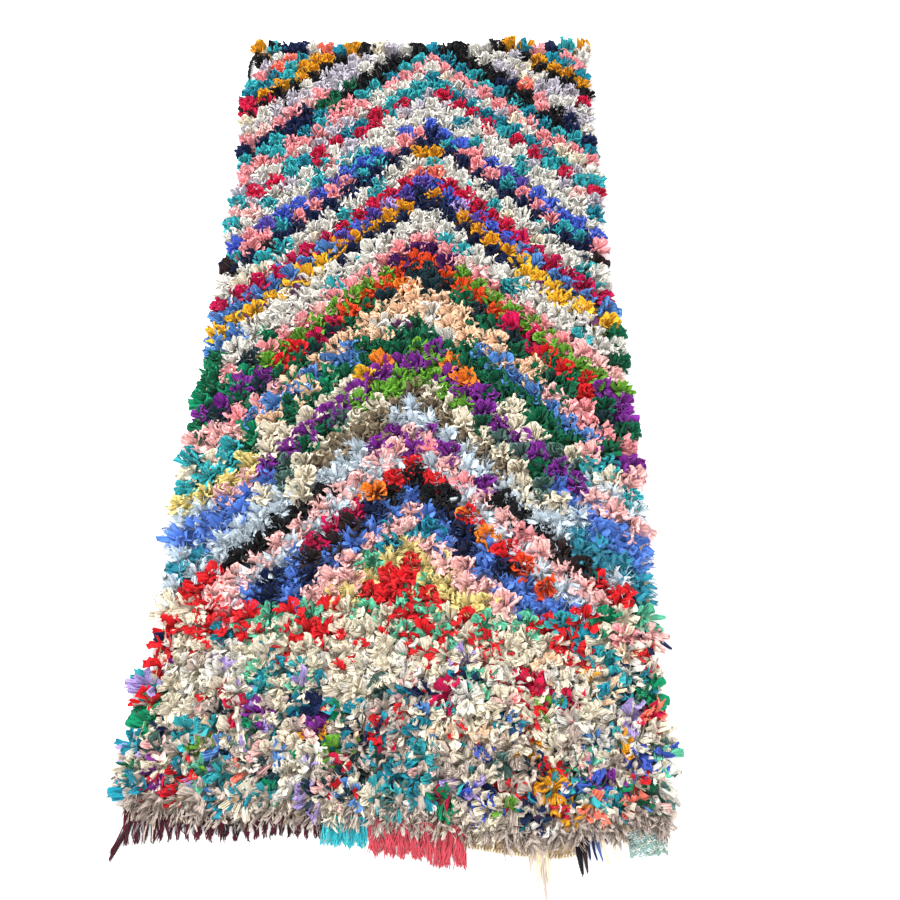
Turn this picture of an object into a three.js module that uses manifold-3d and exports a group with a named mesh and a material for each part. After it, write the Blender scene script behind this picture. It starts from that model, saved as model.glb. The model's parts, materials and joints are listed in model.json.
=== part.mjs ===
// A boucherouite rug: a hand-knotted rag rug lying flat with its pile up.
// Millimetres, +Z up, +Y towards the far end of the rug, +X to the right of
// someone who stands at the near end. The field of knotted tufts is one woven
// piece. What is left of the warp and weft at the near end is a row of short
// fringes, tassels and woven ends, each on a narrow strip of its own.

import * as THREE from 'three';
import { mergeVertices } from 'three/addons/utils/BufferGeometryUtils.js';
import Module from 'manifold-3d';

const wasm = await Module();
wasm.setup();

// The knots stand in straight rows and columns.
const ROWS = 56;
const COLUMNS = 25;

// Heights of the pile above the surface that the rug lies on.
const TUFT_TOP = 31;
const TUFT_TOP_SPREAD = 5;
const VALLEY = 17;
const VALLEY_SPREAD = 3;
const RIM = 11;

// How far a tuft's top and a valley stray from the grid, as shares of a cell.
const TOP_STRAY = 0.2;
const VALLEY_STRAY = 0.1;

// Tufts at the rim lean out of the field as pointed locks. Their mean reach ends
// on the rug's outline below.
const LOCK_REACH = 16;
const LOCK_REACH_SPREAD = 5;
const LOCK_DRIFT = 6;
const LOCK_ROOT_DEPTH = 12;
const LOCK = { width: 34, height: 21, rootHeight: 13, tipHeight: 8 };
const NEAR_LOCK = { width: 36, height: 15, rootHeight: 17, tipHeight: 11 };

// Where the tips of the locks end along both sides, from the far end to the near.
const SIDE_EDGES = [
  { y: 1030, left: -470, right: 477 },
  { y: 930, left: -452, right: 467 },
  { y: 830, left: -465, right: 470 },
  { y: 735, left: -458, right: 468 },
  { y: 590, left: -446, right: 473 },
  { y: 450, left: -444, right: 479 },
  { y: 300, left: -448, right: 467 },
  { y: 80, left: -456, right: 477 },
  { y: -40, left: -452, right: 483 },
  { y: -225, left: -464, right: 485 },
  { y: -350, left: -461, right: 489 },
  { y: -475, left: -465, right: 485 },
  { y: -600, left: -467, right: 489 },
  { y: -730, left: -466, right: 481 },
  { y: -850, left: -474, right: 489 },
  { y: -930, left: -484, right: 482 },
  { y: -1020, left: -472, right: 480 },
];

// Where the tips of the locks end along both ends, from left to right.
const END_EDGES = [
  { x: -475, far: 1024, near: -1008 },
  { x: -400, far: 1020, near: -1020 },
  { x: -300, far: 1017, near: -1026 },
  { x: -200, far: 1016, near: -1018 },
  { x: -60, far: 1014, near: -1022 },
  { x: 90, far: 1014, near: -1033 },
  { x: 200, far: 1022, near: -1050 },
  { x: 283, far: 1034, near: -1056 },
  { x: 343, far: 1010, near: -1046 },
  { x: 444, far: 1036, near: -1036 },
  { x: 485, far: 1028, near: -1034 },
];

// Pieces that meet stand this far apart.
const GAP = 0.3;

// The strips that carry the fringes, and the yarns of a fringe.
const STRIP_HEIGHT = 4;
const STRIP_DEPTH = 7;
const STRAND_STEPS = 2;
const STRAND_TIP_SHARE = 0.35;
const STRAND_ROOT_DEPTH = 4;

// Even rows of bunched yarns: from and to along X, the mean reach past the strip
// with its spread, and the most that a tip sways sideways.
const FRINGES = [
  {
    name: 'maroon_fringe', color: 0x55202f, from: -462, to: -127, pitch: 8.4,
    width: 7, height: 3.6, reach: 13, spread: 6, sway: 2.8,
  },
  {
    name: 'turquoise_fringe', color: 0x4bc4c8, from: -126, to: -49, pitch: 7,
    width: 6, height: 3.8, reach: 19, spread: 5, sway: 2.2,
  },
  {
    name: 'coral_fringe', color: 0xe0596a, from: -48, to: 117, pitch: 7.2,
    width: 6.2, height: 3.8, reach: 29, spread: 6, sway: 2.3,
  },
];

// The long yarn at the near left corner, which the maroon fringe carries.
const CORNER_YARN = { x: -459, width: 8, height: 3.8, out: -20, reach: 60 };

// The bare woven edge between the coral fringe and the dark tassel, with the
// loose yarns that hang from it: where each leaves the edge, how far it drifts
// sideways and how far it reaches past the edge.
const WOVEN_EDGE = { name: 'beige_edge', color: 0xdcc69c, from: 118, to: 304, depth: 17 };
const WOVEN_EDGE_YARNS = [
  { x: 231, drift: -5, reach: 17, width: 6 },
  { x: 240, drift: -1, reach: 44, width: 6 },
  { x: 246, drift: 3, reach: 49, width: 5 },
  { x: 251.5, drift: 4, reach: 38, width: 5 },
];

const DARK_TASSEL = { name: 'dark_tassel', color: 0x25242c, from: 305, to: 364 };
const DARK_TASSEL_YARNS = [
  { x: 309, drift: 6, reach: 46, width: 7 },
  { x: 317, drift: 4, reach: 42, width: 6 },
  { x: 325, drift: 3, reach: 30, width: 5 },
  { x: 332, drift: 7, reach: 30, width: 4.5 },
  { x: 340, drift: 9, reach: 28, width: 4.5 },
  { x: 348, drift: 11, reach: 30, width: 4.5 },
];

const CREAM_ENDS = { name: 'cream_ends', color: 0xe3d6bd, from: 365, to: 394 };
const CREAM_ENDS_YARNS = [
  { x: 369, drift: 3, reach: 25, width: 3.5 },
  { x: 376, drift: 7, reach: 16, width: 3.5 },
  { x: 385, drift: 7, reach: 11, width: 3.5 },
];

const HEADER = { name: 'green_header', color: 0x9bb0a8, from: 395, to: 460, depth: 22 };
const HEADER_YARNS = [
  { x: 403, drift: -1, reach: 3, width: 6 },
  { x: 416, drift: 1, reach: 4, width: 6 },
  { x: 430, drift: 0, reach: 3, width: 6 },
  { x: 443, drift: 2, reach: 5, width: 6 },
  { x: 454, drift: 1, reach: 3, width: 6 },
];
const LOOSE_YARN_HEIGHT = 3.4;

const PILE = { name: 'pile_field', color: 0xd8cfc0 };

const UP = new THREE.Vector3(0, 0, 1);
const WELD = 1e-4;

// What a repeatable random number is drawn for.
const DRAW = {
  valleyX: 1,
  valleyY: 2,
  valleyHeight: 3,
  topX: 4,
  topY: 5,
  topHeight: 6,
  lockReach: 7,
  lockDrift: 8,
  yarnReach: 9,
  yarnDrift: 10,
};

// Steps and scale of the sine hash behind the random numbers.
const HASH = { i: 127.1, j: 311.7, purpose: 74.7, scale: 43758.5453 };

// A repeatable number from -1 to 1 for a place in the grid and a purpose.
function swing(i, j, purpose) {
  const wave = Math.sin(i * HASH.i + j * HASH.j + purpose * HASH.purpose) * HASH.scale;
  return 2 * (wave - Math.floor(wave)) - 1;
}

// Reads a column of a table between its rows, which rise or fall in key.
function readTable(table, key, at, column) {
  const rising = table[table.length - 1][key] > table[0][key] ? 1 : -1;
  let next = table.findIndex((row) => (row[key] - at) * rising >= 0);
  if (next < 0) next = table.length - 1;
  const before = table[Math.max(next - 1, 0)];
  const after = table[next];
  const span = after[key] - before[key];
  const share = span === 0 ? 0 : THREE.MathUtils.clamp((at - before[key]) / span, 0, 1);
  return THREE.MathUtils.lerp(before[column], after[column], share);
}

// The point of the field at a share u across and a share v from far to near,
// on the plan of the field without its locks.
function fieldPoint(u, v) {
  const { lerp } = THREE.MathUtils;
  const roughX = lerp(SIDE_EDGES[0].left, SIDE_EDGES[0].right, u);
  const far = readTable(END_EDGES, 'x', roughX, 'far') - LOCK_REACH;
  const near = readTable(END_EDGES, 'x', roughX, 'near') + LOCK_REACH;
  const y = lerp(far, near, v);
  const left = readTable(SIDE_EDGES, 'y', y, 'left') + LOCK_REACH;
  const right = readTable(SIDE_EDGES, 'y', y, 'right') - LOCK_REACH;
  return new THREE.Vector2(lerp(left, right, u), y);
}

// A closed mesh whose shared corners are merged, for a join or for the scene.
function welded(geometry) {
  geometry.deleteAttribute('normal');
  geometry.deleteAttribute('uv');
  return mergeVertices(geometry, WELD);
}

function toSolid(geometry) {
  const closed = welded(geometry);
  const vertProperties = new Float32Array(closed.attributes.position.array);
  const triVerts = new Uint32Array(closed.index.array);
  return new wasm.Manifold(new wasm.Mesh({ numProp: 3, vertProperties, triVerts }));
}

function toGeometry(solid) {
  const { vertProperties, triVerts } = solid.getMesh();
  const geometry = new THREE.BufferGeometry();
  geometry.setAttribute('position', new THREE.BufferAttribute(vertProperties, 3));
  geometry.setIndex(new THREE.BufferAttribute(triVerts, 1));
  return geometry;
}

function namedMesh(piece, geometry) {
  const material = new THREE.MeshStandardMaterial({
    color: piece.color, roughness: 0.95, metalness: 0, flatShading: true,
  });
  const mesh = new THREE.Mesh(geometry, material);
  mesh.name = piece.name;
  return mesh;
}

// The field: a flat underside, low sides, and a top where each knot is a peak
// between four valleys.
function fieldGeometry() {
  const points = [];
  const faces = [];
  const addPoint = (x, y, z) => points.push(x, y, z) / 3 - 1;
  const isRim = (row, column) => row % ROWS === 0 || column % COLUMNS === 0;

  const valleys = [];
  for (let row = 0; row <= ROWS; row += 1) {
    valleys.push([]);
    for (let column = 0; column <= COLUMNS; column += 1) {
      const stray = isRim(row, column) ? 0 : VALLEY_STRAY;
      const u = (column + stray * swing(row, column, DRAW.valleyX)) / COLUMNS;
      const v = (row + stray * swing(row, column, DRAW.valleyY)) / ROWS;
      const { x, y } = fieldPoint(u, v);
      const inner = VALLEY + VALLEY_SPREAD * swing(row, column, DRAW.valleyHeight);
      valleys[row].push(addPoint(x, y, isRim(row, column) ? RIM : inner));
    }
  }

  for (let row = 0; row < ROWS; row += 1) {
    for (let column = 0; column < COLUMNS; column += 1) {
      const u = (column + 0.5 + TOP_STRAY * swing(row, column, DRAW.topX)) / COLUMNS;
      const v = (row + 0.5 + TOP_STRAY * swing(row, column, DRAW.topY)) / ROWS;
      const { x, y } = fieldPoint(u, v);
      const height = TUFT_TOP + TUFT_TOP_SPREAD * swing(row, column, DRAW.topHeight);
      const top = addPoint(x, y, height);
      const ring = [
        valleys[row][column],
        valleys[row + 1][column],
        valleys[row + 1][column + 1],
        valleys[row][column + 1],
      ];
      ring.forEach((corner, i) => faces.push(corner, ring[(i + 1) % 4], top));
    }
  }

  // The rim's corners, anticlockwise seen from above, and their feet.
  const rim = [];
  for (let row = 0; row < ROWS; row += 1) rim.push(valleys[row][0]);
  for (let column = 0; column < COLUMNS; column += 1) rim.push(valleys[ROWS][column]);
  for (let row = ROWS; row > 0; row -= 1) rim.push(valleys[row][COLUMNS]);
  for (let column = COLUMNS; column > 0; column -= 1) rim.push(valleys[0][column]);
  const feet = rim.map((corner) => addPoint(points[3 * corner], points[3 * corner + 1], 0));
  rim.forEach((corner, i) => {
    const j = (i + 1) % rim.length;
    faces.push(feet[i], feet[j], rim[j]);
    faces.push(feet[i], rim[j], corner);
  });

  const outline = feet.map((foot) => new THREE.Vector2(points[3 * foot], points[3 * foot + 1]));
  THREE.ShapeUtils.triangulateShape(outline, []).forEach(([a, b, c]) => {
    faces.push(feet[a], feet[c], feet[b]);
  });

  const geometry = new THREE.BufferGeometry();
  geometry.setAttribute('position', new THREE.Float32BufferAttribute(points, 3));
  geometry.setIndex(faces);
  return geometry;
}

// A pointed lock with four sides, from its root inside the field to its tip.
function lockGeometry(root, tip, size) {
  const from = new THREE.Vector3(root.x, root.y, size.rootHeight);
  const to = new THREE.Vector3(tip.x, tip.y, size.tipHeight);
  const along = to.clone().sub(from);
  const length = along.length();
  along.normalize();
  const across = new THREE.Vector3().crossVectors(along, UP).normalize();
  const up = new THREE.Vector3().crossVectors(across, along);
  const geometry = new THREE.ConeGeometry(1, length, 4);
  const turn = new THREE.Matrix4().makeBasis(
    across.multiplyScalar(size.width / 2),
    along,
    up.multiplyScalar(size.height / 2),
  );
  turn.setPosition(from.lerp(to, 0.5));
  return geometry.applyMatrix4(turn);
}

// The rim's locks: one to a row on both sides and one to a column at both ends.
function rimLocks() {
  const locks = [];
  const addLock = (u, v, outX, outY, size, seed) => {
    const edge = fieldPoint(u, v);
    const reach = LOCK_REACH + LOCK_REACH_SPREAD * swing(seed, 0, DRAW.lockReach);
    const drift = LOCK_DRIFT * swing(seed, 1, DRAW.lockDrift);
    const root = new THREE.Vector2(
      edge.x - outX * LOCK_ROOT_DEPTH,
      edge.y - outY * LOCK_ROOT_DEPTH,
    );
    const tip = new THREE.Vector2(
      edge.x + outX * reach + Math.abs(outY) * drift,
      edge.y + outY * reach + Math.abs(outX) * drift,
    );
    locks.push(lockGeometry(root, tip, size));
  };
  for (let row = 0; row < ROWS; row += 1) {
    const v = (row + 0.5) / ROWS;
    addLock(0, v, -1, 0, LOCK, row);
    addLock(1, v, 1, 0, LOCK, row + ROWS);
  }
  for (let column = 0; column < COLUMNS; column += 1) {
    const u = (column + 0.5) / COLUMNS;
    addLock(u, 0, 0, 1, LOCK, column + 2 * ROWS);
    addLock(u, 1, 0, -1, NEAR_LOCK, column + 3 * ROWS);
  }
  return locks;
}

function pileField() {
  const field = rimLocks().reduce(
    (solid, lock) => solid.add(toSolid(lock)),
    toSolid(fieldGeometry()),
  );
  return namedMesh(PILE, toGeometry(field));
}

// The near edge of the field, without its locks, as a line that strips follow.
const nearCorners = Array.from({ length: COLUMNS + 1 }, (_, i) => fieldPoint(i / COLUMNS, 1));

function nearEdge(x) {
  return readTable(nearCorners, 'x', x, 'y');
}

// A strip that lies along the near edge of the field.
function stripGeometry(from, to, depth) {
  const between = nearCorners.map((corner) => corner.x).filter((x) => x > from && x < to);
  const stops = [from, ...between, to];
  const inner = stops.map((x) => new THREE.Vector2(x, nearEdge(x) - GAP));
  const outer = stops.map((x) => new THREE.Vector2(x, nearEdge(x) - GAP - depth)).reverse();
  const shape = new THREE.Shape([...inner, ...outer]);
  return new THREE.ExtrudeGeometry(shape, { depth: STRIP_HEIGHT, bevelEnabled: false });
}

// A bunch of yarn with three sides that lies level on one of them and tapers
// along its route from the root to the tip.
function strandGeometry(route, width, height) {
  const geometry = new THREE.CylinderGeometry(STRAND_TIP_SHARE, 1, 1, 3, STRAND_STEPS);
  const { position } = geometry.attributes;
  const flatSide = Math.cos(Math.PI / 3);
  const halfWidth = Math.sin(Math.PI / 3);
  for (let i = 0; i < position.count; i += 1) {
    const share = position.getY(i) + 0.5;
    const size = THREE.MathUtils.lerp(1, STRAND_TIP_SHARE, share);
    const centre = route.getPoint(share);
    const along = route.getTangent(share);
    const across = (position.getX(i) / halfWidth) * (width / 2);
    const rise = ((position.getZ(i) + flatSide * size) / (1 + flatSide)) * height;
    position.setXYZ(i, centre.x + along.y * across, centre.y - along.x * across, rise);
  }
  return geometry;
}

// A yarn that leaves the near edge at x and drifts sideways as it goes.
function looseYarn(x, depth, drift, reach, width, height) {
  const edge = nearEdge(x) - GAP - depth;
  const route = new THREE.QuadraticBezierCurve(
    new THREE.Vector2(x, edge + Math.min(STRAND_ROOT_DEPTH, depth)),
    new THREE.Vector2(x, edge - reach / 2),
    new THREE.Vector2(x + drift, edge - reach),
  );
  return strandGeometry(route, width, height);
}

function joined(strip, yarns) {
  return toGeometry(yarns.reduce((solid, yarn) => solid.add(toSolid(yarn)), toSolid(strip)));
}

// A fringe of yarns at an even pitch, each a little longer or more bent.
function fringe(kind) {
  const count = Math.floor((kind.to - kind.from) / kind.pitch);
  const yarns = [];
  for (let i = 0; i < count; i += 1) {
    const x = kind.from + ((i + 0.5) * (kind.to - kind.from)) / count;
    const reach = kind.reach + kind.spread * swing(i, kind.from, DRAW.yarnReach);
    const drift = kind.sway * swing(i, kind.from, DRAW.yarnDrift);
    yarns.push(looseYarn(x, STRIP_DEPTH, drift, reach, kind.width, kind.height));
  }
  if (kind.name === FRINGES[0].name) {
    const { x, width, height, out, reach } = CORNER_YARN;
    yarns[0] = looseYarn(x, STRIP_DEPTH, out, reach, width, height);
  }
  return namedMesh(kind, joined(stripGeometry(kind.from, kind.to, STRIP_DEPTH), yarns));
}

// A strip with a few yarns, each with its own place and length.
function looseEnd(piece, rows) {
  const depth = piece.depth ?? STRIP_DEPTH;
  const yarns = rows.map((row) => (
    looseYarn(row.x, depth, row.drift, row.reach, row.width, LOOSE_YARN_HEIGHT)
  ));
  return namedMesh(piece, joined(stripGeometry(piece.from, piece.to, depth), yarns));
}

const rug = new THREE.Group();
rug.add(pileField());
FRINGES.forEach((kind) => rug.add(fringe(kind)));
rug.add(looseEnd(WOVEN_EDGE, WOVEN_EDGE_YARNS));
rug.add(looseEnd(DARK_TASSEL, DARK_TASSEL_YARNS));
rug.add(looseEnd(CREAM_ENDS, CREAM_ENDS_YARNS));
rug.add(looseEnd(HEADER, HEADER_YARNS));

// The origin is on the surface that the rug lies on, under the middle of its box.
const middle = new THREE.Box3().setFromObject(rug).getCenter(new THREE.Vector3());
rug.position.set(-middle.x, -middle.y, 0);
rug.updateMatrixWorld(true);

export default rug;
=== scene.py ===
"""A boucherouite rug: a hand-knotted rag rug that lies flat with its pile up.

The knots stand in straight rows and columns. Each is a tuft of cut rags or of
loose wool, and its dye follows a chart of chevron stripes that point to the
far end. The near end is a band of mixed scraps, and under its last row come
the fringes, tassels and woven ends of the warp and weft.
"""

import json
import logging
import math
from dataclasses import dataclass, field
from enum import Enum
from typing import Iterable, Optional, Sequence, Union

import bmesh
import bpy
import numpy as np
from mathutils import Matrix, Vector

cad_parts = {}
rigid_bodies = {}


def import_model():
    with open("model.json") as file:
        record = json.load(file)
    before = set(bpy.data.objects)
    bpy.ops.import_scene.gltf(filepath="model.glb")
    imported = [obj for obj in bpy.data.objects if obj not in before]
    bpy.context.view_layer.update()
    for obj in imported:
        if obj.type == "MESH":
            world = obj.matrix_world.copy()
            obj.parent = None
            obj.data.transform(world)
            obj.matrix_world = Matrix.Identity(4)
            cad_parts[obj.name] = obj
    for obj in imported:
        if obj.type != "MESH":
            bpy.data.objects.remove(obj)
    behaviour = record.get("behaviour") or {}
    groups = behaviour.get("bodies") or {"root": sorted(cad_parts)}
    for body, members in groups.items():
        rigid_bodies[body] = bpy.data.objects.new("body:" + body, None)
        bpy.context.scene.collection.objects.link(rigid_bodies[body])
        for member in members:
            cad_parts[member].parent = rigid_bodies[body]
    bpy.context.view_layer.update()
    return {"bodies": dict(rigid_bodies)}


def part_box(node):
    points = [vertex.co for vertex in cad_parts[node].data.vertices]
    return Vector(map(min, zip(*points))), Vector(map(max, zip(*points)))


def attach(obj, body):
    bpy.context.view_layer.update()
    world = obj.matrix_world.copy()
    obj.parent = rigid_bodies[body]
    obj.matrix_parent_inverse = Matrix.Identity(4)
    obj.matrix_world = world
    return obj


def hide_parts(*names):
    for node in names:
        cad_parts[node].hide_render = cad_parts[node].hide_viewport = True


logging.basicConfig(level=logging.INFO, format="%(name)s: %(message)s")
log = logging.getLogger("rug")

BODY = "root"
MM = 0.001


class Dye(Enum):
    """The dyes of the rags and yarns, as sRGB levels from 0 to 255."""

    WHITE = (224, 221, 213)
    CREAM = (232, 222, 200)
    LILAC_GREY = (198, 192, 203)
    PINK = (244, 160, 164)
    LIGHT_PINK = (248, 196, 192)
    TEAL = (28, 138, 160)
    TURQUOISE = (52, 168, 176)
    CRIMSON = (200, 20, 66)
    MAGENTA = (192, 14, 78)
    NAVY = (14, 30, 72)
    BLACK = (13, 13, 18)
    BROWN_BLACK = (44, 28, 30)
    MUSTARD = (220, 152, 24)
    GOLD = (238, 186, 44)
    CORAL = (250, 126, 104)
    PURPLE = (128, 42, 148)
    DARK_PURPLE = (70, 20, 90)
    VIOLET = (92, 78, 172)
    LILAC = (170, 150, 210)
    CORNFLOWER = (72, 100, 205)
    STEEL_BLUE = (84, 134, 196)
    ORANGE_RED = (226, 74, 24)
    ORANGE = (238, 132, 38)
    BRIGHT_GREEN = (104, 164, 50)
    DARK_GREEN = (6, 98, 66)
    EMERALD = (10, 134, 92)
    SLATE_TEAL = (20, 52, 60)
    SLATE_GREEN = (84, 116, 108)
    PEACH = (246, 208, 174)
    TAUPE_BROWN = (140, 124, 100)
    TAUPE = (194, 178, 167)
    PALE_WOOL = (206, 219, 228)
    BLUE_WOOL = (84, 130, 214)
    TURQUOISE_WOOL = (44, 148, 172)
    YELLOW_WOOL = (232, 214, 142)
    PALE_YELLOW = (234, 216, 140)
    RED = (222, 30, 38)
    MINT = (98, 192, 156)
    PLUM = (96, 40, 92)
    MAROON = (78, 14, 32)
    CORAL_YARN = (180, 64, 76)
    BEIGE = (206, 176, 130)
    GREY_GREEN = (146, 172, 164)
    GREY = (120, 118, 124)
    BEIGE_PALE = (226, 210, 178)
    DENIM = (72, 96, 146)

    def linear(self) -> tuple[float, float, float]:
        """Returns the dye as scene-linear red, green and blue."""
        levels = (channel / 255 for channel in self.value)
        return tuple(
            level / 12.92 if level <= 0.04045 else ((level + 0.055) / 1.055) ** 2.4
            for level in levels
        )


BUNCHED = {Dye.CREAM, Dye.WHITE, Dye.TAUPE, Dye.LILAC, Dye.LIGHT_PINK, Dye.SLATE_TEAL}
WOOLS = {Dye.PALE_WOOL, Dye.BLUE_WOOL, Dye.TURQUOISE_WOOL, Dye.YELLOW_WOOL}


@dataclass(frozen=True)
class Mix:
    """The dyes that a maker reaches for in one place, and how often.

    Attributes:
        dyes: Each dye with its weight.
        fleck: A dye that a few strips of each tuft there have.
    """

    dyes: tuple[tuple[Dye, float], ...]
    fleck: Optional[Dye] = None

    def draw(self, rng: np.random.Generator) -> Dye:
        """Returns one dye, drawn by weight."""
        weights = np.array([weight for _, weight in self.dyes], float)
        return self.dyes[rng.choice(len(weights), p=weights / weights.sum())][0]


def mix(fleck: Optional[Dye] = None, **parts: float) -> Mix:
    """Returns a mix of dyes that are named in lower case, each with its weight."""
    return Mix(tuple((Dye[name.upper()], weight) for name, weight in parts.items()), fleck)


@dataclass(frozen=True)
class Stripe:
    """One chevron stripe of the chart.

    Attributes:
        start: The row in which it begins on the line of the chevrons' points.
        mixes: The mixes of both halves, each from a distance in columns from that line.
        left: What only the left half has.
        right: What only the right half has.
    """

    start: float
    mixes: dict[float, Mix]
    left: dict[float, Mix] = field(default_factory=dict)
    right: dict[float, Mix] = field(default_factory=dict)

    def at(self, offset: float) -> Mix:
        """Returns the mix at an offset in columns, negative to the left."""
        mixes = {**self.mixes, **(self.right if offset > 0 else self.left)}
        return mixes[max(reach for reach in mixes if reach <= abs(offset))]


PALE = mix(white=5, lilac_grey=2, cream=1)
FLECKED = mix(white=3, cream=1, fleck=Dye.PLUM)

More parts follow.
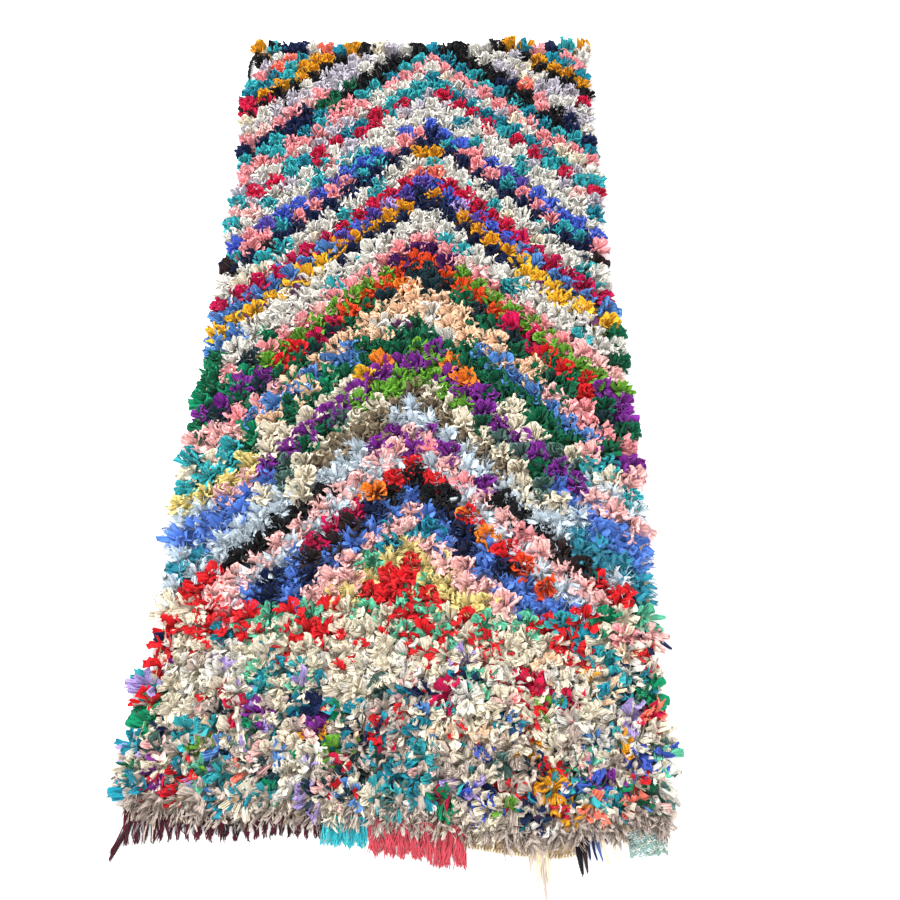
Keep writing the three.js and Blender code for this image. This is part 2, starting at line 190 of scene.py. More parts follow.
STRIPES: tuple[Stripe, ...] = (
    Stripe(-99.0, {0: mix(mustard=1, teal=2)}),
    Stripe(-12.4, {0: mix(black=3, teal=1)}),
    Stripe(-10.8, {0: PALE}),
    Stripe(-9.7, {0: mix(pink=4, coral=1)}),
    Stripe(-8.6, {0: mix(teal=3, turquoise=1)}),
    Stripe(-7.4, {0: mix(mustard=1)}),
    Stripe(-6.2, {0: mix(black=1)}),
    Stripe(-5.0, {0: mix(white=4, lilac_grey=4, cream=1, fleck=Dye.LILAC_GREY)}),
    Stripe(
        -3.0, {0: PALE}, left={7: mix(pink=4, light_pink=1)},
        right={7: mix(coral=2, pink=1, white=1), 9: PALE},
    ),
    Stripe(
        -1.8, {0: mix(black=1)}, left={5.6: mix(dark_green=4, black=1), 8.7: mix(navy=1)},
        right={5: mix(black=1, navy=1), 7: mix(black=1), 10: mix(navy=1)},
    ),
    Stripe(-0.2, {0: mix(teal=2, turquoise=2)}),
    Stripe(0.9, {0: mix(pink=1)}),
    Stripe(2.0, {0: PALE}),
    Stripe(3.0, {0: mix(teal=3, turquoise=1)}),
    Stripe(3.8, {0: mix(crimson=3, turquoise=1)}),
    Stripe(4.8, {0: mix(white=4, lilac_grey=2, teal=1, light_pink=1)}),
    Stripe(5.9, {0: mix(turquoise=2, white=3, teal=1)}),
    Stripe(6.8, {0: mix(white=5, turquoise=1)}),
    Stripe(7.4, {0: mix(cornflower=4, white=1), 5: mix(cornflower=3, violet=1)}),
    Stripe(8.3, {0: mix(pink=3, turquoise=1)}),
    Stripe(9.3, {0: mix(navy=1), 10.4: mix(brown_black=3, navy=1)}),
    Stripe(10.5, {0: mix(mustard=1), 0.9: mix(white=5, turquoise=1)}),
    Stripe(11.6, {0: mix(turquoise=3, white=4, cream=1)}),
    Stripe(12.7, {0: mix(coral=1), 0.9: mix(crimson=1), 6: mix(magenta=1)}),
    Stripe(13.7, {0: mix(cornflower=2, violet=2, lilac=1), 5.6: mix(steel_blue=1)}),
    Stripe(14.6, {0: mix(mustard=3, navy=1), 2: mix(mustard=1), 5.6: mix(gold=1)}),
    Stripe(
        15.7, {0: mix(navy=1), 5.6: FLECKED}, left={11: mix(steel_blue=1)},
        right={10.8: mix(dark_green=1, white=1)},
    ),
    Stripe(
        16.6, {0: mix(white=1)}, left={12: mix(dark_green=1)}, right={10.8: mix(dark_green=1, white=2)}
    ),
    Stripe(
        17.9, {0: mix(turquoise=1, white=1), 3: mix(white=3, turquoise=2)},
        left={9: mix(emerald=1, white=1)}, right={10.8: mix(dark_green=1, white=1)},
    ),
    Stripe(
        18.6, {0: mix(pink=4, light_pink=1), 12: mix(dark_green=1)},
        left={10: mix(slate_teal=2, pink=1)}, right={9: mix(light_pink=3, pink=1)},
    ),
    Stripe(
        19.6, {0: mix(dark_purple=1), 2.4: mix(bright_green=1)}, left={9.8: mix(emerald=1)},
        right={9.8: mix(bright_green=1, light_pink=1)},
    ),
    Stripe(
        20.6, {0: mix(orange_red=1), 5.2: mix(magenta=1), 7: mix(red=2, orange_red=1)},
        left={8.4: mix(purple=1)}, right={10.2: mix(purple=1)},
    ),
    Stripe(21.7, {0: mix(slate_teal=3, orange=1), 1.5: mix(slate_teal=2, dark_green=3)}),
    Stripe(22.8, {0: mix(peach=1), 7.6: mix(light_pink=3, pink=1)}),
    Stripe(
        24.1, {0: mix(peach=2, white=1), 3.6: mix(steel_blue=1)},
        left={10: mix(light_pink=1, turquoise=1)}, right={10.4: mix(purple=1, dark_green=1)},
    ),
    Stripe(
        25.2, {0: FLECKED},
        left={2.5: mix(dark_green=3, emerald=2, peach=1), 9.4: mix(turquoise=1, cream=2)},
        right={2.5: mix(dark_green=1), 9.4: mix(turquoise=1, light_pink=2)},
    ),
    Stripe(26.1, {
        0: mix(dark_green=1), 5: mix(emerald=2, dark_green=2, cream=1), 9.4: mix(cream=1, turquoise=1),
    }),
    Stripe(
        27.0, {0: mix(orange=1, dark_green=1), 1.4: mix(gold=1, orange=1), 4: mix(cream=1)},
        left={9: mix(pale_yellow=1)}, right={7: mix(slate_green=1), 9: mix(pale_wool=1)},
    ),
    Stripe(
        27.9, {0: mix(bright_green=1, purple=1), 1.3: mix(purple=1)},
        left={9: mix(pale_wool=2, light_pink=1)}, right={9: mix(light_pink=1)},
    ),
    Stripe(29.1, {0: mix(bright_green=1), 3.6: mix(dark_green=3, slate_green=2), 7.6: mix(blue_wool=1)}),
    Stripe(30.2, {0: mix(cream=1), 6.2: mix(slate_green=1, cream=2), 8.4: mix(blue_wool=1, pale_wool=1)}),
    Stripe(31.0, {
        0: mix(taupe_brown=1), 5.6: mix(slate_green=1, cream=1), 7: mix(turquoise_wool=3, pale_wool=1),
    }),
    Stripe(
        32.3, {0: mix(pale_wool=1)}, left={8: mix(pale_wool=3, cream=1)},
        right={8: mix(turquoise_wool=1)},
    ),
    Stripe(
        33.0, {0: mix(purple=1, pale_wool=1)}, left={5: mix(black=1), 9.8: mix(red=1)},
        right={4.5: mix(black=1), 7: mix(brown_black=2, black=1), 9.8: mix(red=3, emerald=1)},
    ),
    Stripe(33.9, {0: mix(light_pink=3, pink=1), 9.8: mix(cream=2, light_pink=2, peach=1)}),
    Stripe(35.1, {0: mix(pale_wool=1), 7: mix(pale_wool=2, light_pink=1)}),
    Stripe(
        36.2, {0: mix(black=2, red=2), 8: mix(blue_wool=1)},
        left={
            2: mix(orange=3, magenta=1), 3: mix(magenta=1, light_pink=1),
            5: mix(magenta=1, navy=1, blue_wool=1),
        },
        right={2: mix(orange=1, red=1), 4: mix(red=2, orange_red=1), 6: mix(orange_red=1, navy=1)},
    ),
    Stripe(37.3, {
        0: mix(black=1), 1.5: mix(brown_black=1, navy=3, blue_wool=1), 6: mix(navy=1, blue_wool=3),
    }),
    Stripe(38.3, {0: mix(blue_wool=1)}),
    Stripe(39.2, {
        0: mix(light_pink=1), 2: mix(blue_wool=1, light_pink=2), 6: mix(light_pink=2, pale_wool=2),
    }),
    Stripe(39.6, {0: mix(light_pink=2, teal=1), 4: mix(light_pink=2, cream=1)}),
    Stripe(40.5, {0: mix(teal=1, light_pink=1), 1: mix(light_pink=2, mint=1, pale_yellow=1)}),
    Stripe(41.2, {0: mix(yellow_wool=1), 4: mix(pale_yellow=1, mint=1)}),
    Stripe(42.2, {0: mix(red=3, pale_yellow=2, mint=1)}),
    Stripe(43.3, {0: mix(mint=3, red=3, cream=1)}),
    Stripe(44.4, {0: mix(red=3, cream=1, mint=3)}),
)

SCRAPS = dict(
    red=0.6, teal=0.6, turquoise=0.4, lilac=0.2, navy=0.42, coral=0.22, emerald=0.42,
    cornflower=0.16, mustard=0.24, crimson=0.32, bright_green=0.12, purple=0.2, light_pink=0.3,
    slate_teal=0.35, steel_blue=0.22, orange_red=0.14, slate_green=0.3, mint=0.25, peach=0.2,
)


@dataclass(frozen=True)
class Band:
    """A band of rows at the near end, where the chevrons give way to scraps.

    Attributes:
        start: Its first row on the line of the chevrons' points.
        rise: How many rows sooner it begins at the two sides.
        mixes: Its mix for each tuft.
    """

    start: float
    rise: float
    mixes: Mix


BANDS: tuple[Band, ...] = (
    Band(45.4, 0.4, mix(red=6, mint=4, cream=3)),
    Band(47.4, 1.2, mix(cream=7, white=2, red=3.2, mint=0.6, teal=0.6, lilac=0.4, navy=0.4, peach=0.6)),
    Band(48.9, 1.2, mix(cream=6.5, white=1.5, taupe=0.8, **SCRAPS)),
    Band(50.9, 0.8, mix(cream=3, white=1, taupe=4, **SCRAPS)),
    Band(52.6, 0.2, mix(cream=2.4, white=0.8, taupe=2.6, **SCRAPS)),
    Band(55.0, 0.0, mix(taupe=10, cream=0.6, taupe_brown=0.6)),
)


SINGLE_TUFTS: dict[Dye, tuple[tuple[int, int], ...]] = {
    Dye.MUSTARD: ((0, 0), (0, 7), (0, 19), (0, 24), (51, 22)),
    Dye.TURQUOISE: ((0, 1), (0, 23), (45, 20), (47, 22), (52, 11)),
    Dye.NAVY: ((0, 2), (0, 3), (0, 22)),
    Dye.WHITE: ((0, 4), (0, 11), (1, 24), (53, 24)),
    Dye.CORAL: ((0, 5), (50, 24), (54, 21), (54, 23)),
    Dye.TEAL: ((0, 6), (0, 20), (5, 0), (46, 3), (46, 21), (48, 24), (50, 7), (52, 0), (53, 2)),
    Dye.BLACK: ((0, 8), (0, 18), (1, 0)),
    Dye.PINK: ((0, 21), (45, 3), (46, 23), (52, 21)),
    Dye.CRIMSON: ((6, 0), (6, 1), (6, 24), (7, 0), (49, 20), (54, 19)),
    Dye.PURPLE: ((35, 12),),
    Dye.BLUE_WOOL: ((38, 12), (44, 19)),
    Dye.EMERALD: ((45, 22), (49, 24), (50, 0), (51, 0), (51, 5)),
    Dye.LIGHT_PINK: ((46, 24),),
    Dye.RED: ((47, 0), (47, 21), (47, 24), (48, 0), (53, 17), (54, 2)),
    Dye.CREAM: ((47, 1), (48, 1), (49, 1), (50, 1), (53, 0)),
    Dye.LILAC: ((49, 0),),
    Dye.MAGENTA: ((49, 14),),
    Dye.TAUPE: ((51, 24),),
    Dye.CORNFLOWER: ((52, 24), (53, 21)),
    Dye.DARK_GREEN: ((54, 24),),
}
LANDMARKS = {place: dye for dye, places in SINGLE_TUFTS.items() for place in places}


@dataclass(frozen=True)
class Chart:
    """The chart of the field: which dyes stand in each knot.

    Attributes:
        apex_column: Where the chevrons' points lie at the far end, in columns from the left.
        drift: Columns that the points stray to the left in each row.
        slope: Rows that a stripe drops for each column away from the points.
    """

    apex_column: float = 13.4
    drift: float = 0.022
    slope: float = 1.0

    def mix_at(self, row: int, column: int, wander: float) -> Mix:
        """Finds the mix of one knot.

        Args:
            row: The knot's row from the far end.
            column: The knot's column from the left.
            wander: How far the maker strays from the line, in rows.

        Returns:
            The mix there.
        """
        offset = column + 0.5 - self.apex_column + self.drift * row
        side = abs(offset) / self.apex_column
        near = [band for band in BANDS if row + 0.5 >= band.start - band.rise * side]
        if near:
            return near[-1].mixes
        place = row + 0.5 - self.slope * abs(offset) + wander
        stripe = [stripe for stripe in STRIPES if stripe.start <= place][-1]
        return stripe.at(offset)


@dataclass(frozen=True)
class RugPlan:
    """The outline of the rug and the grid of its knots, in metres.

    The tables give where the tips of the rim's tufts end, on lines across and
    along the rug, in millimetres from a point near the middle of the field.

    Attributes:
        rows, columns: Rows and columns of knots.
        lock_reach: How far the rim's tufts stand out over the weave.
        gap: What the fringes leave free at the near edge.
        sides: The left and the right rim at each place along the rug.
        ends: The far and the near rim at each place across it.
        spread: How far the grid is drawn out to the rims, across and along.
        pushes: How far the tufts at the left and right stand out past that.
        push_columns: Columns over which that fades.
        header_from, header_to: Where the grey-green end begins and ends across the rug.
    """

    rows: int = 56
    columns: int = 25
    lock_reach: float = 16 * MM
    gap: float = 0.3 * MM
    sides: tuple[tuple[float, float, float], ...] = (
        (1030, -470, 477), (930, -452, 467), (830, -465, 470), (735, -458, 468),
        (590, -446, 473), (450, -444, 479), (300, -448, 467), (80, -456, 477),
        (-40, -452, 483), (-225, -464, 485), (-350, -461, 489), (-475, -465, 485),
        (-600, -467, 489), (-730, -466, 481), (-850, -474, 489), (-930, -484, 482),
        (-1020, -472, 480),
    )
    ends: tuple[tuple[float, float, float], ...] = (
        (-475, 1024, -1008), (-400, 1020, -1020), (-300, 1017, -1026), (-200, 1016, -1018),
        (-60, 1014, -1022), (90, 1014, -1033), (200, 1022, -1050), (283, 1034, -1056),
        (343, 1010, -1046), (444, 1036, -1036), (485, 1028, -1034),
    )
    spread: tuple[float, float] = (1.024, 1.0115)
    pushes: tuple[tuple[float, float, float], ...] = (
        (1030, 5, 3), (990, -12, 3), (890, -14, 3), (850, 3, 2), (500, 4, -2), (354, 14, -6),
        (275, -8, -6), (200, -6, -10), (120, 0, -16), (60, -2, -8), (-20, -3, 2), (-100, -5, -8),
        (-152, -5, 3), (-300, 8, -5), (-390, 8, -7), (-430, 16, 0), (-490, -6, 0), (-606, -1, -9),
        (-660, -6, 2), (-740, 8, -4), (-795, 10, -9), (-840, 0, -8), (-883, 15, 2), (-930, -4, 0),
        (-966, -2, -12), (-1020, 14, -6),
    )
    push_columns: float = 5.0
    header_from: float = 395 * MM
    header_to: float = 460 * MM

    def _read(self, table: Sequence[Sequence[float]], at: float, column: int) -> float:
        """Returns what a table's column says at a place, both in metres."""
        places, values = zip(*((row[0] * MM, row[column] * MM) for row in sorted(table)))
        return float(np.interp(at, places, values))

    def local(self, across: float, along: float) -> tuple[float, float]:
        """Finds a point of the weave in the tables' own place.

        Args:
            across: Its share of the width from the left.
            along: Its share of the length from the far end.

        Returns:
            The point.
        """
        rough = (1 - across) * self.sides[0][1] * MM + across * self.sides[0][2] * MM
        far = self._read(self.ends, rough, 1) - self.lock_reach
        near = self._read(self.ends, rough, 2) + self.lock_reach
        y = (1 - along) * far + along * near
        left = self._read(self.sides, y, 1) + self.lock_reach
        right = self._read(self.sides, y, 2) - self.lock_reach
        return (1 - across) * left + across * right, y

    def knot_place(self, across: float, along: float) -> tuple[float, float]:
        """Returns where a knot's tuft stands: the grid, drawn out a little to the rims."""
        wide, long = self.spread
        return self.local(0.5 + (across - 0.5) * wide, 0.5 + (along - 0.5) * long)

    def rim_push(self, y: float, column: int) -> float:
        """Finds how far a tuft stands to the right of its place, most at the two long sides.

        Args:
            y: Its place along the rug.
            column: Its column.

        Returns:
            The distance, negative to the left.
        """
        from_left, from_right = column, self.columns - 1 - column
        left = max(0.0, 1 - from_left / self.push_columns) * self._read(self.pushes, y, 1)
        right = max(0.0, 1 - from_right / self.push_columns) * self._read(self.pushes, y, 2)
        return right - left

    def near_edge(self, x: float) -> float:
        """Returns where the field's near edge lies at x, in the tables' place."""
        corners = [self.local(i / self.columns, 1.0) for i in range(self.columns + 1)]
        return float(np.interp(x, [c[0] for c in corners], [c[1] for c in corners]))

    def shift(self) -> Vector:
        """Measures how far the frame lies from the tables' own place.

        Returns:
            What is added to a place in the tables to get a place in the frame.
        """
        low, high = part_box("green_header")
        corners = [self.local(i / self.columns, 1.0) for i in range(self.columns + 1)]
        stops = [self.header_from, self.header_to]
        stops += [x for x, _ in corners if self.header_from < x < self.header_to]
        top = max(self.near_edge(x) for x in stops) - self.gap
        return Vector((low.x - self.header_from, high.y - top, 0.0))


class Family(Enum):
    """The kinds of tuft."""

    PUFF = "puff"
    CRUMPLE = "crumple"
    WOOL = "wool"
    BUNCH = "bunch"
    SCRAP = "scrap"
    FRAY = "fray"


@dataclass(frozen=True)
class StripCut:
    """How some strips of a tuft are cut and how they lie.

    Attributes:
        count: Strips of this cut in a tuft.
        length, width: Least and most length and width, in millimetres.
        lean_root, lean_tip: Least and most lean from upright at the knot and at the tip, in degrees.
        root, tip: Width at the knot and at the tip, as shares of the widest.
        thickness: Thickness of the cloth or yarn, in millimetres.
        fold: Depth of the fold along the strip, as a share of its half width.
        crumple: How far the cloth is pushed out of its plane, in millimetres.
        ragged: How unevenly the tip is cut, as a share of a step.
        segments, sides: Steps along a strip, and points round its section, 3 or 4.
        spread: How far the roots stand from the middle of the knot, in millimetres.
        roll: How far the strips are turned about their own length, in radians.
        fan: Half the angle over which the strips fan out, in degrees.
        pleats: Pleats across a rag end, an even number, or 0 for a plain strip.
        pleat_depth: Height of a pleat over and under the cloth's plane, in millimetres.
        widest_at: Where along its length a strip is widest, as a share.
    """

    count: int
    length: tuple[float, float]
    width: tuple[float, float]
    lean_root: tuple[float, float]
    lean_tip: tuple[float, float]
    root: float = 0.55
    tip: float = 0.7
    thickness: float = 1.2
    fold: float = 0.5
    crumple: float = 1.6
    ragged: float = 0.4
    segments: int = 2
    sides: int = 4
    spread: float = 9.0
    roll: float = 0.8
    fan: float = 180.0
    pleats: int = 0
    pleat_depth: float = 1.6
    widest_at: float = 0.6

    @property
    def ring(self) -> int:
        """Returns how many points stand round a section."""
        return self.pleats + 1 + self.pleats // 2 if self.pleats else self.sides


def skirt(length: tuple[float, float], width: tuple[float, float]) -> StripCut:
    """Returns the cut of the wide, low strips at a tuft's foot."""
    return StripCut(4, length, width, (50, 66), (66, 84), root=0.7, tip=1.0, spread=4)


CUTS: dict[Family, tuple[StripCut, ...]] = {
    Family.PUFF: (
        StripCut(
            8, (22, 31), (15, 23), (0, 24), (0, 48), root=0.55, tip=1.0, thickness=1.7, fold=0.3,
            crumple=1.7, ragged=0.2, spread=13, roll=0.7, fan=135, pleats=6,
            pleat_depth=1.5, widest_at=1.0,
        ),
        StripCut(
            1, (20, 30), (6, 10), (5, 40), (10, 60), root=0.7, tip=0.9, thickness=2.4, crumple=2.0,
            ragged=0.3, spread=12, roll=1.0,
        ),
        StripCut(
            5, (24, 33), (1.0, 1.6), (0, 40), (5, 65), root=1.0, thickness=1.0, fold=0.0,
            crumple=2.4, sides=3, spread=12,
        ),
        skirt((19, 25), (17, 23)),
    ),
    Family.CRUMPLE: (
        StripCut(
            8, (24, 34), (16, 25), (0, 28), (4, 60), root=0.55, tip=1.0, thickness=1.7, fold=0.25,
            crumple=1.8, ragged=0.22, spread=13, roll=0.6, fan=120, pleats=6,
            pleat_depth=1.6, widest_at=1.0,
        ),
        StripCut(
            2, (22, 30), (6, 10), (5, 40), (10, 70), root=0.7, tip=0.9, thickness=2.2, crumple=2.0,
            ragged=0.3, spread=12, roll=1.0,
        ),
        skirt((20, 26), (17, 24)),
    ),
    Family.WOOL: (
        StripCut(
            5, (21, 29), (14, 22), (0, 30), (4, 60), root=0.6, tip=0.8, thickness=3.0, fold=0.3,
            crumple=2.0, ragged=0.8, spread=12, roll=0.7, fan=130, pleats=6,
            pleat_depth=0.9, widest_at=0.8,
        ),
        StripCut(
            40, (21, 34), (0.9, 1.5), (5, 50), (25, 85), root=1.0, thickness=1.0, fold=0.0,
            crumple=2.4, sides=3, spread=15, fan=130,
        ),
        skirt((20, 26), (17, 24)),
    ),
    Family.BUNCH: (
        StripCut(
            10, (24, 36), (11, 20), (0, 38), (15, 78), root=0.55, tip=1.0, thickness=1.7, fold=0.25,
            crumple=1.9, ragged=0.25, spread=15, roll=0.7, fan=115, pleats=6,
            pleat_depth=1.6, widest_at=1.0,
        ),
        StripCut(
            3, (24, 34), (5, 9), (5, 45), (20, 80), root=0.8, tip=0.9, thickness=2.0, crumple=2.0,
            ragged=0.3, spread=14, roll=1.0, fan=120,
        ),
        skirt((21, 28), (17, 24)),
    ),
    Family.SCRAP: (
        StripCut(
            6, (22, 33), (13, 22), (5, 45), (30, 86), root=0.6, tip=1.0, fold=0.12, crumple=1.6,
            ragged=0.12, spread=15, roll=0.4, fan=130, pleats=4, pleat_depth=0.7,
            widest_at=1.0,
        ),
        StripCut(
            4, (24, 33), (10, 16), (0, 40), (10, 74), root=0.55, tip=1.0, thickness=1.6, fold=0.25,
            crumple=1.8, ragged=0.2, spread=14, roll=0.8, fan=140, pleats=6,
            widest_at=1.0,
        ),
        StripCut(
            3, (24, 34), (4, 8), (5, 45), (20, 80), root=0.8, tip=1.0, thickness=1.6, crumple=2.0,
            ragged=0.3, spread=14, roll=1.0,
        ),
        skirt((21, 28), (17, 24)),
    ),
    Family.FRAY: (
        StripCut(
            13, (20, 28), (5, 9), (0, 45), (20, 74), root=0.8, tip=0.8, thickness=1.4, fold=0.3,
            crumple=1.0, ragged=0.8, spread=15, roll=0.45, fan=34, pleats=4,
            pleat_depth=0.9, widest_at=0.75,
        ),
        StripCut(
            10, (20, 29), (2.5, 5), (5, 50), (35, 80), root=0.9, tip=0.6, thickness=1.3, crumple=1.0,
            ragged=0.9, spread=16, roll=0.6, fan=34,
        ),
        StripCut(
            44, (20, 30), (0.8, 1.4), (10, 55), (40, 86), root=1.0, tip=0.5, thickness=0.9, fold=0.0,
            crumple=1.2, sides=3, spread=16, fan=36,
        ),
        skirt((20, 26), (15, 22)),
    ),
}
VARIANTS = 12
GOLDEN_TURN = math.radians(137.5)
CREASE_ANGLE = math.radians(55)
ALL_ROUND = 150.0
# The ridge mark of a plain strip or yarn, which gives it painted shade between that of a pleat's valley and
# its top.
PLAIN_STRIP_PAINTED_LIGHT = 0.75
YARN_BASE = 0.6
YARN_RIDGE = 1.2
LEAST_WIDTH = 1e-6

Value = Union[bpy.types.NodeSocket, float]


@dataclass(frozen=True)
class Unevenness:
    """How unevenly strips are cut: the most, the spread or the range of each, as shares or radians."""

    aim: float = 0.4
    lean: tuple[float, float] = (0.5, 1.35)
    middle_length: float = 1.05
    shortening: float = 0.14
    tip: tuple[float, float] = (0.7, 1.15)
    fold: tuple[float, float] = (0.4, 1.3)
    twist: float = 0.7
    swerve: float = 0.55
    root_bend: float = 0.3
    pleat: tuple[float, float] = (0.35, 1.4)
    pleat_change: tuple[float, float] = (0.7, 1.2)
    width: tuple[float, float] = (0.88, 1.1)
    taper: float = 1.4


@dataclass
class TuftMaker:
    """Makes the tufts of one family as plain meshes that are then repeated.

    Attributes:
        family: The kind of tuft.
        seed: The seed of their shapes.
        uneven: How unevenly the strips are cut and tied.
        points: The points of the tuft in hand.
        faces: Its faces.
        marks: What its finish reads at each point, by the attribute's name.
    """

    family: Family
    seed: int = 7
    uneven: Unevenness = Unevenness()
    points: list[tuple[float, float, float]] = field(default_factory=list)
    faces: list[tuple[int, ...]] = field(default_factory=list)
    marks: dict[str, list[float]] = field(default_factory=dict)

    def _width(self, cut: StripCut, share: float, tip: float) -> float:
        """Finds how wide a strip is at one place.

        Args:
            cut: How it is cut.
            share: The place, as a share of its length.
            tip: Its width at the tip, as a share of its widest.

        Returns:
            Its width there, as a share of its widest.
        """
        if share <= cut.widest_at:
            return cut.root + (1 - cut.root) * math.sin(share / cut.widest_at * math.pi / 2)
        past = (share - cut.widest_at) / (1 - cut.widest_at)
        return 1.0 - (1 - tip) * past ** self.uneven.taper

    def _section(
        self, cut: StripCut, half: float, fold: float, push: np.ndarray, ridges: np.ndarray,
    ) -> list[tuple[float, float]]:
        """Finds the points round a section, as across and out of the plane.

        Args:
            cut: How the strip is cut.
            half: Half its width there.
            fold: Its fold.
            push: How far its edges and middle are crumpled out of the plane.
            ridges: The height of each pleat's edge, or nothing for a plain strip.

        Returns:
            The points in their order round the section.
        """
        thick = cut.thickness * MM / 2
        if cut.sides == 3:
            return [(-half, -thick * YARN_BASE), (half, -thick * YARN_BASE), (0.0, thick * YARN_RIDGE)]
        middle = fold * half
        if cut.pleats:
            across = np.linspace(-1, 1, cut.pleats + 1)
            out = np.interp(across, (-1, 0, 1), push) + middle * (1 - 2 * np.abs(across)) + ridges
            back = range(cut.pleats - 1, 0, -2)
            return [(half * u, z + thick) for u, z in zip(across, out)] + [
                (half * across[n], out[n] - thick) for n in back
            ]
        return [
            (-half, push[0] - middle), (0.0, push[1] + middle - thick),
            (half, push[2] - middle), (0.0, push[1] + middle + thick),
        ]

    def _strip(self, rng: np.random.Generator, cut: StripCut, place: int) -> None:
        """Adds one strip.

        Args:
            rng: The source of its shape.
            cut: How it is cut.
            place: The strip's number in its cut, from the middle outwards.
        """
        uneven = self.uneven
        outward = (place + 0.5) / cut.count
        turned = (place * GOLDEN_TURN) % math.tau - math.pi
        azimuth = turned * cut.fan / 180 + rng.uniform(-uneven.aim, uneven.aim)
        ahead = outward if cut.fan > ALL_ROUND else 0.5 + 0.5 * math.cos(turned) * math.sqrt(outward)
        lean = [
            math.radians(low + (high - low) * min(1.0, ahead * rng.uniform(*uneven.lean)))
            for low, high in (cut.lean_root, cut.lean_tip)
        ]
        length = rng.uniform(*cut.length) * MM * (uneven.middle_length - uneven.shortening * outward)
        widest = rng.uniform(*cut.width) * MM
        tip = cut.tip * rng.uniform(*uneven.tip)
        fold = cut.fold * rng.uniform(*uneven.fold) * rng.choice((-1, 1))
        roll = rng.normal(0, cut.roll)
        twist = rng.normal(0, uneven.twist)
        swerve = rng.normal(0, uneven.swerve)
        petal = rng.random()
        bends = rng.normal(0, 1, (cut.segments + 1, 3)) * cut.crumple * MM
        bends[0] *= uneven.root_bend
        rises = rng.uniform(*uneven.pleat, cut.pleats + 1) * cut.pleat_depth * MM
        rises[1::2] *= -1
        spread = cut.spread * MM * math.sqrt(outward)
        at = np.array([spread * math.cos(turned), spread * math.sin(turned), 0.0])
        step = length / cut.segments
        first = len(self.points)
        for s in range(cut.segments + 1):
            share = s / cut.segments
            tilt = lean[0] + (lean[1] - lean[0]) * share
            turn = azimuth + swerve * share
            along = np.array([
                math.sin(tilt) * math.cos(turn), math.sin(tilt) * math.sin(turn), math.cos(tilt)
            ])
            if s:
                at = at + along * step
            across = np.array([-math.sin(turn), math.cos(turn), 0.0])
            out = np.cross(along, across)
            angle = roll + twist * share
            side = math.cos(angle) * across + math.sin(angle) * out
            face = np.cross(along, side)
            half = 0.5 * widest * self._width(cut, share, tip) * rng.uniform(*uneven.width)
            ridges = rises * rng.uniform(*uneven.pleat_change, len(rises))
            section = self._section(cut, half, fold, bends[s], ridges)
            # The ridge mark sets each point's painted light and shade: 1, painted light, on a pleat's top,
            # and 0, the deepest painted shade, in its valleys, round the strip's back and at all but the
            # first point of a plain strip.
            painted_light_marks = [1, 0] * cut.pleats if cut.pleats else [PLAIN_STRIP_PAINTED_LIGHT] * len(section)
            for n, (x, z) in enumerate(section):
                push = rng.uniform(-1, 1) * cut.ragged * step if share == 1 else 0.0
                self.points.append(tuple(at + side * x + face * z + along * push))
                self.marks["ridge"].append(painted_light_marks[n] if n <= cut.pleats else 0)
                self.marks["strip_u"].append(x / max(half, LEAST_WIDTH))
                self.marks["strip_v"].append(length * share)
                self.marks["strip_share"].append(share)
                self.marks["petal"].append(petal)
        self._close(first, cut)

    def _close(self, first: int, cut: StripCut) -> None:
        """Adds the faces of a strip, which make it a closed shell.

        Args:
            first: The number of its first point.
            cut: How it is cut.
        """
        sides = cut.ring
        for s in range(cut.segments):
            for n in range(sides):
                a, b = first + s * sides + n, first + s * sides + (n + 1) % sides
                self.faces.append((a, b, b + sides, a + sides))
        self.faces.append(tuple(first + n for n in reversed(range(sides))))
        last = first + cut.segments * sides
        self.faces.append(tuple(last + n for n in range(sides)))

    def make(self) -> list[bpy.types.Object]:
        """Makes every shape of the family.

        Returns:
            Its tufts as objects, in the order of their names.
        """
        made = []
        for variant in range(VARIANTS):
            rng = np.random.default_rng([self.seed, variant, list(Family).index(self.family)])
            self.points, self.faces = [], []
            self.marks = {name: [] for name in ("strip_u", "strip_v", "strip_share", "petal", "ridge")}
            for cut in CUTS[self.family]:
                for place in range(cut.count):
                    self._strip(rng, cut, place)
            mesh = bpy.data.meshes.new(f"{self.family.value}_tuft_{variant:02d}")
            mesh.from_pydata(self.points, [], self.faces)
            for name, values in self.marks.items():
                mark(mesh, name, "FLOAT", values)
            recalculate_normals(mesh)
            mesh.shade_smooth()
            mesh.set_sharp_from_angle(angle=CREASE_ANGLE)
            made.append(bpy.data.objects.new(mesh.name, mesh))
        return made


def mark(mesh: bpy.types.Mesh, name: str, kind: str, values: object, domain: str = "POINT") -> None:
    """Writes an attribute that a finish or a node tree reads.

    Args:
        mesh: The mesh.
        name: The attribute's name.
        kind: FLOAT, INT, FLOAT_VECTOR or FLOAT_COLOR.
        values: The values in their order.
        domain: What each value belongs to.
    """
    slot = {"FLOAT_VECTOR": "vector", "FLOAT_COLOR": "color"}.get(kind, "value")
    attribute = mesh.attributes.new(name, kind, domain)
    attribute.data.foreach_set(slot, np.array(values, np.int32 if kind == "INT" else np.float32).ravel())


def recalculate_normals(mesh: bpy.types.Mesh) -> None:
    """Turns the faces of closed shells outwards.

    Args:
        mesh: The mesh.
    """
    bm = bmesh.new()
    bm.from_mesh(mesh)
    bmesh.ops.recalc_face_normals(bm, faces=bm.faces)
    bm.to_mesh(mesh)
    bm.free()


def add_object(name: str, data: bpy.types.ID) -> bpy.types.Object:
    """Puts a mesh, camera or light into the scene.

    Args:
        name: The object's name.
        data: What it shows.

    Returns:
        The object.
    """
    obj = bpy.data.objects.new(name, data)
    bpy.context.scene.collection.objects.link(obj)
    return obj


